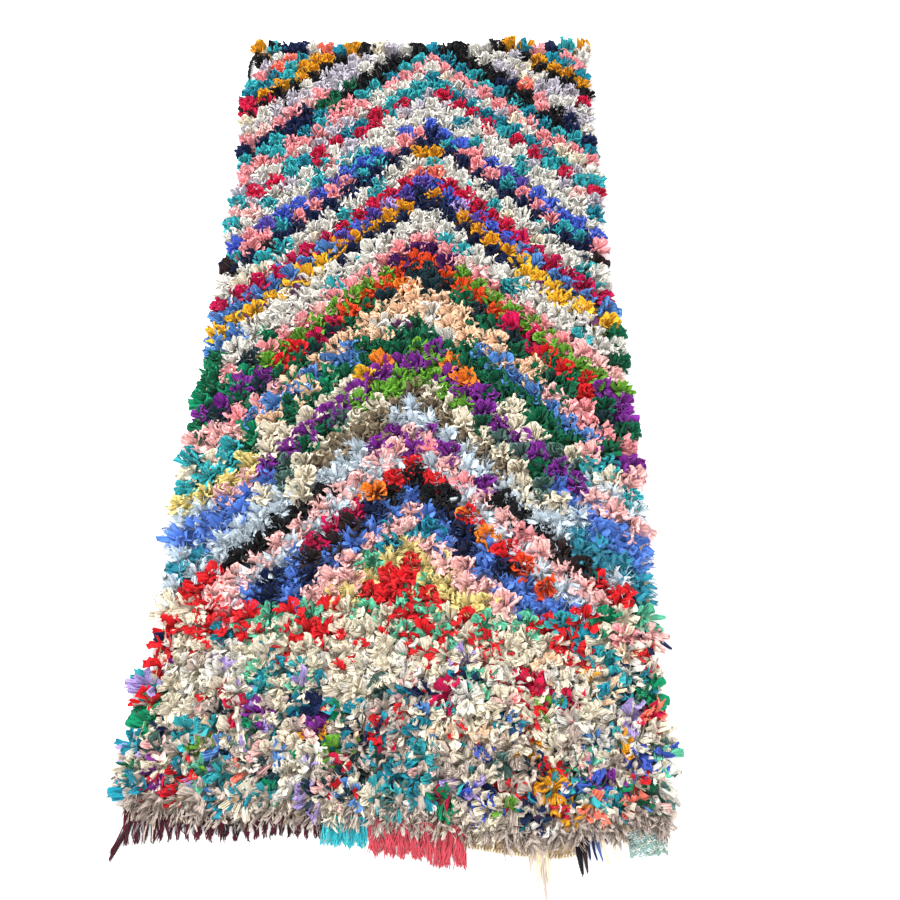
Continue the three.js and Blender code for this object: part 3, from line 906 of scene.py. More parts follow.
def closed_sheet(name: str, rows: int, columns: int, points: Sequence[Sequence[float]]) -> bpy.types.Mesh:
    """Joins two layers of points into a closed sheet.

    Args:
        name: The mesh's name.
        rows: Steps from row to row.
        columns: Steps from column to column.
        points: The lower layer's points, row by row, and then the upper layer's.

    Returns:
        The mesh, with each cell's upper and lower face in turn, and then the rim.
    """
    layer = (rows + 1) * (columns + 1)

    def numbers(places: Iterable[tuple[int, int]]) -> list[int]:
        """Returns the lower layer's point numbers at some rows and columns."""
        return [row * (columns + 1) + column for row, column in places]

    faces = []
    for r in range(rows):
        for c in range(columns):
            ring = numbers(((r, c), (r + 1, c), (r + 1, c + 1), (r, c + 1)))
            faces.append(tuple(layer + n for n in ring))
            faces.append(tuple(reversed(ring)))
    rim = numbers([(r, 0) for r in range(rows)] + [(rows, c) for c in range(columns)])
    rim += numbers([(r, columns) for r in range(rows, 0, -1)] + [(0, c) for c in range(columns, 0, -1)])
    for low, after in zip(rim, rim[1:] + rim[:1]):
        faces.append((low, after, after + layer, low + layer))
    mesh = bpy.data.meshes.new(name)
    mesh.from_pydata([tuple(point) for point in points], [], faces)
    recalculate_normals(mesh)
    return mesh


class NodeTree:
    """A few short ways to build a node tree in code."""

    def __init__(self, tree: bpy.types.NodeTree) -> None:
        """Holds the tree and empties it."""
        self.tree = tree
        tree.nodes.clear()

    def add(self, kind: str, **settings: object) -> bpy.types.Node:
        """Adds a node and sets its properties.

        Args:
            kind: The node's type.
            settings: Its properties.

        Returns:
            The node.
        """
        node = self.tree.nodes.new(kind)
        for name, value in settings.items():
            setattr(node, name, value)
        return node

    def feed(self, node: bpy.types.Node, **values: Value) -> bpy.types.NodeSocket:
        """Sets or links a node's inputs.

        Args:
            node: The node.
            values: Each input's number or socket, with _ for a space in its name.

        Returns:
            The node's first output.
        """
        for name, value in values.items():
            socket = node.inputs[name.replace("_", " ")]
            if isinstance(value, bpy.types.NodeSocket):
                self.link(value, socket)
            else:
                socket.default_value = value
        return node.outputs[0]

    def link(self, source: bpy.types.NodeSocket, target: bpy.types.NodeSocket) -> None:
        """Joins an output to an input."""
        self.tree.links.new(source, target)

    def math(self, operation: str, a: Value, b: Value) -> bpy.types.NodeSocket:
        """Adds a Math node between two sockets or numbers.

        Args:
            operation: The node's operation.
            a: The first socket or number.
            b: The second socket or number.

        Returns:
            The result's socket.
        """
        node = self.add("ShaderNodeMath", operation=operation)
        for socket, value in zip(node.inputs, (a, b)):
            if isinstance(value, bpy.types.NodeSocket):
                self.link(value, socket)
            else:
                socket.default_value = value
        return node.outputs[0]

    def scale(self, vector: bpy.types.NodeSocket, factor: Value) -> bpy.types.NodeSocket:
        """Returns a vector or colour multiplied by a number or socket."""
        return self.feed(self.add("ShaderNodeVectorMath", operation="SCALE"), Vector=vector, Scale=factor)

    def ramp(
        self, value: Value, low: float, high: float, start: float = 0.0, stop: float = 1.0,
    ) -> bpy.types.NodeSocket:
        """Returns a value turned from the range start to stop into the range low to high."""
        node = self.add("ShaderNodeMapRange")
        return self.feed(node, Value=value, From_Min=start, From_Max=stop, To_Min=low, To_Max=high)


def start_material(
    name: str, roughness: float, sheen: float, specular: float,
) -> tuple[bpy.types.Material, NodeTree, bpy.types.Node]:
    """Starts a material of cloth.

    Args:
        name: Its name.
        roughness: How rough it is.
        sheen: How much its fibres catch grazing light.
        specular: How much it reflects.

    Returns:
        The material, its tree and its shader.
    """
    material = bpy.data.materials.new(name)
    material.use_nodes = True
    nodes = NodeTree(material.node_tree)
    shader = nodes.add("ShaderNodeBsdfPrincipled")
    nodes.feed(shader, Roughness=roughness, Sheen_Weight=sheen, Specular_IOR_Level=specular)
    output = nodes.add("ShaderNodeOutputMaterial")
    nodes.link(shader.outputs[0], output.inputs["Surface"])
    return material, nodes, shader


@dataclass(frozen=True)
class ClothFinish:
    """The finish of dyed cloth or yarn whose dyes come with the mesh.

    Attributes:
        name: The material's name.
        roughness, sheen, specular: The shader's own values.
        wrinkles, wrinkles_along: Wrinkles across a strip, and to a metre along it.
        wrinkle_depth, wrinkle_strength: How deep the wrinkles are, in metres, and how they show.
        fibres, fibre_depth, fibre_strength: Fibres to a metre, and the same for them.
        shade_spread: How far a strip's shade strays from its dye.
        root_painted_shade, root_reach: Painted shade at the knot, as a share of the dye, and up to what
            share of the strip it reaches.
        valley_painted_shade, ridge_painted_light: Painted shade where the ridge mark is 0, between the
        pleats and round the strips' backs, and painted light where it is 1, on the pleats' tops.
        wrinkle_painted_shade, crest_painted_light: Painted shade in a wrinkle, and painted light beside it.
        creases: Where the noise of the wrinkles starts and stops to count.
        keys: What tells the strips and the tufts apart in the noise.
    """

    name: str
    roughness: float = 0.92
    sheen: float = 0.06
    specular: float = 0.15
    wrinkles: float = 2.6
    wrinkles_along: float = 90.0
    wrinkle_depth: float = 0.0032
    wrinkle_strength: float = 0.9
    fibres: float = 900.0
    fibre_depth: float = 0.0006
    fibre_strength: float = 0.6
    shade_spread: float = 0.16
    root_painted_shade: float = 0.78
    root_reach: float = 0.55
    valley_painted_shade: float = 0.72
    ridge_painted_light: float = 1.06
    wrinkle_painted_shade: float = 0.62
    crest_painted_light: float = 1.12
    creases: tuple[float, float] = (0.3, 0.6)
    keys: tuple[float, float] = (31.0, 57.0)

    def make(self) -> bpy.types.Material:
        """Builds the material.

        Returns:
            The material.
        """
        material, nodes, shader = start_material(self.name, self.roughness, self.sheen, self.specular)

        def read(name: str, socket: str = "Fac") -> bpy.types.NodeSocket:
            """Returns an output of a node that reads one of the mesh's attributes."""
            return nodes.add("ShaderNodeAttribute", attribute_name=name).outputs[socket]

        petal = read("petal")
        strip_keys = zip((petal, read("tuft_seed")), self.keys)
        strip_key = nodes.math("ADD", *(nodes.math("MULTIPLY", mark, key) for mark, key in strip_keys))

        # The tuft's second and third dyes colour some of its strips.
        dye = read("dye_a", "Color")
        first = read("dye_share")
        second = nodes.math("ADD", nodes.math("MULTIPLY", first, 0.5), 0.5)
        for name, least in (("dye_b", first), ("dye_c", second)):
            chosen = nodes.math("GREATER_THAN", petal, least)
            blend = nodes.add("ShaderNodeMix", data_type="RGBA")
            nodes.link(chosen, blend.inputs["Factor"])
            nodes.link(dye, blend.inputs["A"])
            nodes.link(read(name, "Color"), blend.inputs["B"])
            dye = blend.outputs["Result"]

        # Wrinkles run along the strip, finer fibres over them.
        scaled = nodes.feed(
            nodes.add("ShaderNodeCombineXYZ"), Z=strip_key,
            X=nodes.math("MULTIPLY", read("strip_u"), self.wrinkles),
            Y=nodes.math("MULTIPLY", read("strip_v"), self.wrinkles_along),
        )
        noise = nodes.add("ShaderNodeTexNoise")
        wrinkle = nodes.feed(noise, Vector=scaled, Scale=1.0, Detail=3.0, Roughness=0.6)
        place = nodes.add("ShaderNodeTexCoord").outputs["Object"]
        fibre = nodes.feed(nodes.add("ShaderNodeTexNoise"), Vector=place, Scale=self.fibres, Detail=2.0)

        # Each strip has its own random tone; painted shade darkens its wrinkles, roots, pleat valleys and
        # back, and painted light brightens the wrinkles' crests and the pleats' tops.
        own_noise = nodes.feed(nodes.add("ShaderNodeTexWhiteNoise", noise_dimensions="1D"), W=strip_key)
        own = nodes.ramp(own_noise, 1.0 - self.shade_spread, 1.0 + self.shade_spread)
        # Painted shade in the wrinkles and painted light beside them, drawn from the noise of the wrinkles'
        # bump.
        painted_wrinkles = nodes.ramp(wrinkle, self.wrinkle_painted_shade, self.crest_painted_light, *self.creases)
        # Painted shade at the roots, where the strips meet at the knot.
        root = nodes.ramp(read("strip_share"), self.root_painted_shade, 1.0, stop=self.root_reach)
        # Painted shade in the pleats' valleys and round the strips' backs, and painted light on the pleats'
        # tops.
        pleat = nodes.ramp(read("ridge"), self.valley_painted_shade, self.ridge_painted_light)
        painted_relief = nodes.math("MULTIPLY", painted_wrinkles, pleat)
        # The dye times its random tone and all the painted shade and light.
        shade = nodes.math("MULTIPLY", own, nodes.math("MULTIPLY", painted_relief, root))
        nodes.link(nodes.scale(dye, shade), shader.inputs["Base Color"])

        bump, fine = nodes.add("ShaderNodeBump"), nodes.add("ShaderNodeBump")
        nodes.feed(bump, Height=wrinkle, Distance=self.wrinkle_depth, Strength=self.wrinkle_strength)
        nodes.feed(fine, Height=fibre, Distance=self.fibre_depth, Strength=self.fibre_strength)
        nodes.link(bump.outputs[0], fine.inputs["Normal"])
        nodes.link(fine.outputs[0], shader.inputs["Normal"])
        return material


# Each kind of tuft's finish, with its painted shade and light.
FINISHES: dict[Family, ClothFinish] = {
    Family.PUFF: ClothFinish("crumpled_cotton", wrinkles=2.2),
    Family.CRUMPLE: ClothFinish("cotton_jersey", wrinkles=2.4),
    Family.WOOL: ClothFinish(
        "brushed_wool", sheen=0.14, wrinkles=8.0, wrinkle_depth=0.002, fibre_depth=0.0014,
        valley_painted_shade=0.9, wrinkle_painted_shade=0.78,
    ),
    Family.BUNCH: ClothFinish("bunched_cotton", wrinkles=2.6),
    Family.SCRAP: ClothFinish("cut_scraps", wrinkles=1.8, wrinkle_depth=0.0016, shade_spread=0.2),
    Family.FRAY: ClothFinish(
        "frayed_chiffon", sheen=0.1, wrinkles=3.2, root_painted_shade=0.84, valley_painted_shade=0.88, wrinkle_painted_shade=0.78
    ),
}


@dataclass(frozen=True)
class WeaveFinish:
    """A flat weave: weft ribs over warp.

    Attributes:
        name: The material's name.
        dye: Its dye, or None where the mesh brings its own.
        rib, uneven: Threads to a metre, and how far they stray.
        darkest, palest: Shares of the dye between the threads, as painted shade, and on them.
        depth: How deep the weave looks, in metres.
        roughness, sheen, specular: The shader's own values.
    """

    name: str
    dye: Optional[Dye]
    rib: float = 420.0
    uneven: float = 1.5
    darkest: float = 0.55
    palest: float = 1.05
    depth: float = 0.001
    roughness: float = 0.95
    sheen: float = 0.2
    specular: float = 0.2

    def make(self) -> bpy.types.Material:
        """Builds the material.

        Returns:
            The material.
        """
        material, nodes, shader = start_material(self.name, self.roughness, self.sheen, self.specular)
        place = nodes.add("ShaderNodeTexCoord").outputs["Object"]
        threads = []
        for direction in ("X", "Y"):
            wave = nodes.add("ShaderNodeTexWave", bands_direction=direction)
            scale = self.rib / math.tau
            nodes.feed(wave, Vector=place, Scale=scale, Distortion=self.uneven, Detail=2.0)
            threads.append(wave.outputs["Fac"])
        height = nodes.math("MULTIPLY", *threads)
        if self.dye:
            own = nodes.add("ShaderNodeRGB").outputs[0]
            own.default_value = (*self.dye.linear(), 1.0)
        else:
            own = nodes.add("ShaderNodeAttribute", attribute_name="dye_a").outputs["Color"]
        # Painted shade darkens the dye between the threads, which also draws the weave's ribs.
        colour = nodes.scale(own, nodes.ramp(height, self.darkest, self.palest))
        nodes.link(colour, shader.inputs["Base Color"])
        bump = nodes.feed(nodes.add("ShaderNodeBump"), Height=height, Distance=self.depth)
        nodes.link(bump, shader.inputs["Normal"])
        return material


class GeometryTree:
    """A Geometry Nodes tree with named inputs, which ends in real geometry with a finish."""

    def __init__(self, name: str, inputs: dict[str, str]) -> None:
        """Starts the tree.

        Args:
            name: Its name.
            inputs: The type of each input but the geometry and the finish, by its name.
        """
        self.group = bpy.data.node_groups.new(name, "GeometryNodeTree")
        face = self.group.interface
        kinds = {"Geometry": "NodeSocketGeometry", **inputs, "Finish": "NodeSocketMaterial"}
        self.inputs = {
            label: face.new_socket(label, in_out="INPUT", socket_type=kind).identifier
            for label, kind in kinds.items()
        }
        face.new_socket("Geometry", in_out="OUTPUT", socket_type="NodeSocketGeometry")
        self.nodes = NodeTree(self.group)
        self.given = self.nodes.add("NodeGroupInput").outputs

    def read(self, name: str, kind: str) -> bpy.types.NodeSocket:
        """Returns the socket of a node that reads an attribute of some type."""
        return self.nodes.feed(self.nodes.add("GeometryNodeInputNamedAttribute", data_type=kind), Name=name)

    def end(self, geometry: bpy.types.NodeSocket) -> None:
        """Makes a geometry real, gives it the finish and hands it out.

        Args:
            geometry: The geometry's socket.
        """
        real = self.nodes.feed(self.nodes.add("GeometryNodeRealizeInstances"), Geometry=geometry)
        dressed = self.nodes.feed(
            self.nodes.add("GeometryNodeSetMaterial"), Geometry=real, Material=self.given["Finish"]
        )
        self.nodes.link(dressed, self.nodes.add("NodeGroupOutput").inputs["Geometry"])

    def run(self, mesh: bpy.types.Mesh, name: str, **values: object) -> bpy.types.Object:
        """Turns a mesh into what the tree makes of it.

        Args:
            mesh: The mesh that the tree starts from.
            name: The new piece's name.
            values: Each input's value, with _ for a space in its name.

        Returns:
            The piece, a plain mesh with no modifier.
        """
        obj = add_object(mesh.name, mesh)
        modifier = obj.modifiers.new(self.group.name, "NODES")
        modifier.node_group = self.group
        for label, value in values.items():
            modifier[self.inputs[label.replace("_", " ")]] = value
        graph = bpy.context.evaluated_depsgraph_get()
        made = bpy.data.meshes.new_from_object(
            obj.evaluated_get(graph), preserve_all_data_layers=True, depsgraph=graph
        )
        made.name = name
        bpy.data.objects.remove(obj)
        return add_object(name, made)


class TuftTree(GeometryTree):
    """The tree that sets a tuft on each knot."""

    def __init__(self) -> None:
        """Builds the tree."""
        super().__init__("set_tufts", {
            "Tufts": "NodeSocketCollection", "Size Jitter": "NodeSocketFloat", "Seed": "NodeSocketInt",
        })
        nodes, given = self.nodes, self.given
        source = nodes.feed(
            nodes.add("GeometryNodeCollectionInfo"), Collection=given["Tufts"],
            Separate_Children=True, Reset_Children=True,
        )
        random = nodes.add("FunctionNodeRandomValue", data_type="FLOAT")
        least, most = [socket for socket in random.inputs if socket.type == "VALUE"][:2]
        nodes.link(nodes.math("SUBTRACT", 1.0, given["Size Jitter"]), least)
        nodes.link(nodes.math("ADD", 1.0, given["Size Jitter"]), most)
        nodes.link(given["Seed"], random.inputs["Seed"])
        factor = next(socket for socket in random.outputs if socket.type == "VALUE")
        turn = nodes.add("FunctionNodeEulerToRotation")
        nodes.link(self.read("turn", "FLOAT_VECTOR"), turn.inputs[0])
        self.end(nodes.feed(
            nodes.add("GeometryNodeInstanceOnPoints"), Points=given["Geometry"], Instance=source,
            Pick_Instance=True, Instance_Index=self.read("variant", "INT"),
            Rotation=turn.outputs[0], Scale=nodes.scale(self.read("size", "FLOAT_VECTOR"), factor),
        ))


class YarnTree(GeometryTree):
    """The tree that turns drawn lines into yarns."""

    def __init__(self) -> None:
        """Builds the tree."""
        super().__init__("spin_yarns", {"Sides": "NodeSocketInt"})
        nodes, given = self.nodes, self.given
        curve = nodes.feed(nodes.add("GeometryNodeMeshToCurve"), Mesh=given["Geometry"])
        circle = nodes.add("GeometryNodeCurvePrimitiveCircle")
        ring = nodes.feed(circle, Resolution=given["Sides"], Radius=1.0)
        self.end(nodes.feed(
            nodes.add("GeometryNodeCurveToMesh"), Curve=curve, Profile_Curve=ring, Fill_Caps=True,
            Scale=self.read("yarn_radius", "FLOAT"),
        ))


@dataclass(frozen=True)
class Press:
    """Keeps the pile over the floor and under its full height, without a hard cut.

    Attributes:
        low: Height under which the pile is pressed together.
        low_scale: How fast it nears the floor below that.
        high: Height over which the pile is pressed together.
        high_share: How much of the height over that is kept.
    """

    low: float = 5 * MM
    low_scale: float = 9 * MM
    high: float = 37 * MM
    high_share: float = 0.5

    def on(self, mesh: bpy.types.Mesh) -> None:
        """Presses a mesh.

        Args:
            mesh: The mesh.
        """
        points = np.empty(len(mesh.vertices) * 3, np.float32)
        mesh.vertices.foreach_get("co", points)
        z = points[2::3]
        under = z < self.low
        z[under] = self.low * np.exp((z[under] - self.low) / self.low_scale)
        over = z > self.high
        z[over] = self.high + (z[over] - self.high) * self.high_share
        mesh.vertices.foreach_set("co", points)
        mesh.update()


@dataclass(frozen=True)
class Knot:
    """One knot of the field.

    Attributes:
        place: Where it is tied.
        turn, size: How its tuft is turned, in radians, and stretched each way.
        variant: Which of its kind's shapes it has.
        seed: What tells its tuft from the others in the finish.
        dyes, share: Its dyes, and the first one's share of the strips.
    """

    place: tuple[float, float, float]
    turn: tuple[float, float, float]
    size: tuple[float, float, float]
    variant: int
    seed: float
    dyes: tuple[Dye, Dye, Dye]
    share: float


@dataclass
class Pile:
    """The field's pile: every knot with its tuft.

    Attributes:
        plan, chart: The outline and grid, and the chart of dyes.
        shift: From the plan's place to the frame.
        base: Height of the knots over the floor.
        bands: Rows at which the pile is parted into pieces.
        seed: The seed of the maker's small irregularities.
        first_crumple_row, first_scrap_row: Where crumpled tufts, and where bunches and scraps begin.
        bunched, bunched_else: The share of bunches among the bunched dyes, and among the others.
        last_row: How far back the last row's tufts stand, in millimetres, from places across.
        second_dye, first_share: How often a tuft has another dye, and its first dye's share.
        first_mixed_row: The first row whose tufts are mixed scraps.
        mixed_scraps, mixed_share: How often they have another dye, and their first dye's share.
        scattered_from: The first row in which a dye is drawn again beside its like.
        wander, jitter: How far a knot strays on the chart and in the grid, in rows and columns.
        lean: Spread of a tuft's lean, in radians.
        side_lean, end_lean: How far the rim's tufts lean outwards.
        near_lean: How far every tuft leans to the near end.
        side_aim, side_stray: How far the side tufts turn outwards, and the spread of their places.
        far_push: How far the far row stands back.
        aim_spread, fray_spread: Spread of the way a tuft opens, and the same in the last row.
        girth, height: Least and most of a tuft's width and of its height.
        size_jitter: Most that a whole tuft's size strays.
        grounds: The first dye of each knot, by row and column.
    """

    plan: RugPlan
    chart: Chart
    shift: Vector
    base: float = 3.5 * MM
    bands: tuple[int, ...] = (0, 10, 20, 29, 37, 45, 51, 56)
    seed: int = 20
    first_crumple_row: int = 20
    first_scrap_row: int = 45
    bunched: float = 0.85
    bunched_else: float = 0.35
    last_row: tuple[tuple[float, float], ...] = (
        (-0.47, 16), (-0.42, 19), (-0.20, 17), (-0.13, 10), (0.10, 12), (0.125, 6), (0.29, 6),
        (0.32, 14),
    )
    second_dye: float = 0.2
    first_mixed_row: int = 47
    mixed_scraps: float = 0.85
    mixed_share: float = 0.45
    first_share: float = 0.74
    scattered_from: int = 42
    wander: float = 0.12
    jitter: float = 0.12
    lean: float = 0.12
    side_lean: float = 0.42
    end_lean: float = 0.4
    near_lean: float = 0.1
    side_aim: float = 0.7
    side_stray: float = 3 * MM
    far_push: float = 12 * MM
    aim_spread: float = 0.55
    fray_spread: float = 0.15
    girth: tuple[float, float] = (0.98, 1.16)
    height: tuple[float, float] = (0.88, 1.1)
    size_jitter: float = 0.06
    grounds: dict[tuple[int, int], Dye] = field(default_factory=dict)

    def family_of(self, row: int, dye: Dye, rng: np.random.Generator) -> Family:
        """Chooses the kind of tuft that a knot has.

        Args:
            row: The knot's row.
            dye: Its first dye.
            rng: The source of its irregularities.

        Returns:
            The kind of tuft.
        """
        if row == self.plan.rows - 1:
            return Family.FRAY
        if dye in WOOLS:
            return Family.WOOL
        if row < self.first_crumple_row:
            return Family.PUFF
        if row < self.first_scrap_row:
            return Family.CRUMPLE
        bunched = rng.random() < (self.bunched if dye in BUNCHED else self.bunched_else)
        return Family.BUNCH if bunched else Family.SCRAP

    def dyes_of(self, row: int, column: int, rng: np.random.Generator) -> tuple[Dye, Dye, Dye]:
        """Chooses the dyes of a knot by the chart.

        Args:
            row: Its row from the far end.
            column: Its column from the left.
            rng: The source of its irregularities.

        Returns:
            Its dyes, the main one first.
        """
        mixes = self.chart.mix_at(row, column, rng.normal(0, self.wander))
        first = mixes.draw(rng)
        beside = (self.grounds.get((row, column - 1)), self.grounds.get((row - 1, column)))
        if row >= self.scattered_from and first in beside and first not in BUNCHED:
            first = mixes.draw(rng)
        first = LANDMARKS.get((row, column), first)
        mixed = self.mixed_scraps if row >= self.first_mixed_row else self.second_dye
        second = mixes.fleck or (mixes.draw(rng) if rng.random() < mixed else first)
        third = mixes.draw(rng) if rng.random() < mixed else first
        self.grounds[row, column] = first
        return first, second, third

    def knot(self, row: int, column: int, rng: np.random.Generator) -> tuple[Family, Knot]:
        """Ties one knot.

        Args:
            row: Its row from the far end.
            column: Its column from the left.
            rng: The source of its irregularities.

        Returns:
            Its kind of tuft, and the knot.
        """
        plan = self.plan
        dyes = self.dyes_of(row, column, rng)
        family = self.family_of(row, dyes[0], rng)
        across = (column + 0.5 + rng.uniform(-self.jitter, self.jitter)) / plan.columns
        along = (row + 0.5 + rng.uniform(-self.jitter, self.jitter)) / plan.rows
        x, y = plan.knot_place(across, along)
        side = 1.0 if column == plan.columns - 1 else -1.0 if column == 0 else 0.0
        end = 1.0 if row == 0 else -1.0 if row == plan.rows - 1 else 0.0
        ahead = 1.0 if row == 0 else -1.0
        aim = ahead * (math.pi / 2 - side * self.side_aim) + rng.normal(0, self.aim_spread)
        outwards = np.array([self.side_lean * side, self.end_lean * end - self.near_lean])
        lean = rng.normal(0, self.lean, 2) + outwards
        x += plan.rim_push(y, column) + side * rng.normal(0, self.side_stray / MM) * MM
        y += self.far_push if row == 0 else 0.0
        if family is Family.FRAY:
            back = float(np.interp(x, *zip(*self.last_row))) * MM
            aim, lean, y = -math.pi / 2 + rng.normal(0, self.fray_spread), np.zeros(2), y + back
        # The lean is turned into the tuft's own directions.
        pitch = lean[0] * math.sin(aim) - lean[1] * math.cos(aim)
        roll = lean[0] * math.cos(aim) + lean[1] * math.sin(aim)
        knot = Knot(
            place=(x + self.shift.x, y + self.shift.y, self.base),
            turn=(pitch, roll, aim),
            size=(rng.uniform(*self.girth), rng.uniform(*self.girth), rng.uniform(*self.height)),
            variant=int(rng.integers(0, VARIANTS)),
            seed=float(rng.random()),
            dyes=dyes,
            share=self.mixed_share if row >= self.first_mixed_row else self.first_share,
        )
        return family, knot

    def knots(self) -> dict[tuple[int, Family], list[Knot]]:
        """Ties every knot, row by row.

        Returns:
            The knots, by band and kind of tuft.
        """
        rng = np.random.default_rng(self.seed)
        groups: dict[tuple[int, Family], list[Knot]] = {}
        for row in range(self.plan.rows):
            band = max(n for n, start in enumerate(self.bands) if start <= row)
            for column in range(self.plan.columns):
                family, knot = self.knot(row, column, rng)
                groups.setdefault((band, family), []).append(knot)
        return groups

    def _points(self, knots: Sequence[Knot]) -> bpy.types.Mesh:
        """Draws some knots as points.

        Args:
            knots: The knots.

        Returns:
            A mesh with one point for each knot and its attributes.
        """
        mesh = bpy.data.meshes.new("knots")
        mesh.from_pydata([knot.place for knot in knots], [], [])
        mark(mesh, "turn", "FLOAT_VECTOR", [knot.turn for knot in knots])
        mark(mesh, "size", "FLOAT_VECTOR", [knot.size for knot in knots])
        for n, name in enumerate(("dye_a", "dye_b", "dye_c")):
            mark(mesh, name, "FLOAT_COLOR", [(*knot.dyes[n].linear(), 1.0) for knot in knots])
        mark(mesh, "variant", "INT", [knot.variant for knot in knots])
        mark(mesh, "tuft_seed", "FLOAT", [knot.seed for knot in knots])
        mark(mesh, "dye_share", "FLOAT", [knot.share for knot in knots])
        return mesh

    def build(self) -> list[bpy.types.Object]:
        """Sets every knot's tuft.

        Returns:
            The pieces of the pile.
        """
        tree = TuftTree()
        tufts: dict[Family, bpy.types.Collection] = {}
        materials = {family: FINISHES[family].make() for family in Family}
        for family in Family:
            tufts[family] = bpy.data.collections.new(f"{family.value}_tufts")
            for obj in TuftMaker(family).make():
                tufts[family].objects.link(obj)
        pieces = []
        groups = sorted(self.knots().items(), key=lambda group: (group[0][0], group[0][1].value))
        for (band, family), knots in groups:
            piece = tree.run(
                self._points(knots), f"pile_{family.value}_{band + 1}", Tufts=tufts[family],
                Finish=materials[family], Size_Jitter=self.size_jitter, Seed=band * 10 + 3,
            )
            Press().on(piece.data)
            pieces.append(piece)
        for collection in tufts.values():
            for obj in list(collection.objects):
                bpy.data.objects.remove(obj)
            bpy.data.collections.remove(collection)
        return pieces


@dataclass
class GroundWeave:
    """The woven ground that the knots are tied into: one thin flat cloth.

    Attributes:
        plan: The outline and the grid.
        shift: From the plan's place to the frame.
        thickness: Thickness of the weave.
        area_steps: Strips in which its area is measured.
        width_steps: Strips in which its width is measured.
    """

    plan: RugPlan
    shift: Vector
    thickness: float = 3.4 * MM
    area_steps: int = 40
    width_steps: int = 20

    def build(self, dyes: dict[tuple[int, int], Dye]) -> bpy.types.Object:
        """Weaves the ground.

        Args:
            dyes: The first dye of each knot, which shows in the weave darkened by painted shade.

        Returns:
            The ground as a closed sheet.
        """
        rows, columns = self.plan.rows, self.plan.columns
        points = []
        for z in (0.0, self.thickness):
            for row in range(rows + 1):
                for column in range(columns + 1):
                    x, y = self.plan.local(column / columns, row / rows)
                    points.append((x + self.shift.x, y + self.shift.y, z))
        mesh = closed_sheet("ground_weave", rows, columns, points)
        cells = [dyes[row, column] for row in range(rows) for column in range(columns)]
        of_faces = [dye for dye in cells for _ in (0, 1)]
        of_faces += [Dye.BEIGE] * (len(mesh.polygons) - len(of_faces))
        colours = [(*of_faces[p.index].linear(), 1.0) for p in mesh.polygons for _ in p.vertices]
        mark(mesh, "dye_a", "FLOAT_COLOR", colours, "CORNER")
        # The ground's dyes are darkened to between 0.3 and 0.7 of the knots' dyes: painted shade of the
        # tufts over it, and deeper between its threads.
        mesh.materials.append(WeaveFinish("ground_cotton", None, darkest=0.3, palest=0.7).make())
        ground = add_object("ground_weave", mesh)
        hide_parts("pile_field")
        return ground

    def _widths(self, steps: int) -> list[float]:
        """Returns the widths at even steps along the rug."""
        shares = [step / steps for step in range(steps + 1)]
        return [self.plan.local(1, share)[0] - self.plan.local(0, share)[0] for share in shares]

    def size(self) -> tuple[float, float]:
        """Returns the flat width and length in metres."""
        return max(self._widths(self.width_steps)), self.plan.local(0.5, 0)[1] - self.plan.local(0.5, 1)[1]

    def area(self) -> float:
        """Returns the flat area in square metres."""
        long = self.plan.local(0, 0)[1] - self.plan.local(0, 1)[1]
        return float(np.mean(self._widths(self.area_steps))) * long


@dataclass(frozen=True)
class CornerLock:
    """The long lock of narrow yarns at the rug's near left corner, in metres."""

    x: float = -0.456
    half_width: float = 0.006
    drift: float = -0.026
    gather: float = 0.8
    reach: float = 0.078
    shortest: float = 0.7
    count: int = 16
    radius: float = 0.0013
    lift: float = 0.003
    crinkle: float = 0.0006
    dyes: Mix = mix(black=4, grey=1.5, maroon=2)


@dataclass(frozen=True)
class YarnRow:
    """A row of loose yarns that leave the rug's near edge, in metres.

    Attributes:
        name, slot: The solid that it replaces, and its material slot in the record.
        start, stop: Where the row begins and ends, in the plan's place.
        reach, spread: Mean length past the edge, and how far the lengths stray.
        clump: Width of the bunches that the yarns fall into.
        pitch, radius: Distance between yarns, and a yarn's radius.
        crinkle: How far a yarn's own waves stray.
        dyes: Its dyes.
        converge: How far the yarns of a bunch draw together at their tips.
        longer, longest: How much longer the longest yarns are, and where they are.
        tapers: How far along the row that tapers off.
        layers: Yarns above each other.
        root: How far the yarns begin behind the edge.
        corner: The long lock at its end, if it has one.
    """

    name: str
    slot: str
    start: float
    stop: float
    reach: float
    spread: float
    clump: float
    pitch: float
    radius: float
    crinkle: float
    dyes: Mix
    converge: float = 0.25
    longer: float = 0.0
    longest: float = 0.0
    tapers: float = 100 * MM
    layers: int = 3
    root: float = 6 * MM
    corner: Optional[CornerLock] = None


YARN_ROWS: tuple[YarnRow, ...] = (
    YarnRow(
        "maroon_fringe", "maroon_yarn", start=-0.466, stop=-0.127, reach=0.028, spread=0.004,
        clump=0.017, pitch=0.0028, radius=0.0015, crinkle=0.0020,
        dyes=mix(maroon=6, black=2, grey=0.5, taupe=0.4, brown_black=2), converge=0.85,
        longer=0.026, longest=-0.466, corner=CornerLock(),
    ),
    YarnRow(
        "turquoise_fringe", "turquoise_yarn", start=-0.126, stop=-0.049, reach=0.040, spread=0.005,
        clump=0.019, pitch=0.0021, radius=0.0013, crinkle=0.0030, dyes=mix(turquoise=4, teal=1),
    ),
    YarnRow(
        "coral_fringe", "coral_yarn", start=-0.048, stop=0.117, reach=0.050, spread=0.006,
        clump=0.033, pitch=0.0021, radius=0.0014, crinkle=0.0036, dyes=mix(coral_yarn=1),
        longer=0.013, longest=0.085, tapers=0.06,
    ),
)


@dataclass(frozen=True)
class Lock:
    """One loose lock that hangs from the near edge, in millimetres.

    Attributes:
        x: Where it leaves the edge, in the plan's place.
        drift: How far its tip strays sideways.
        reach: How far it reaches past its strip.
        width: Its width.
        dye: Its dye.
    """

    x: float
    drift: float
    reach: float
    width: float
    dye: Dye


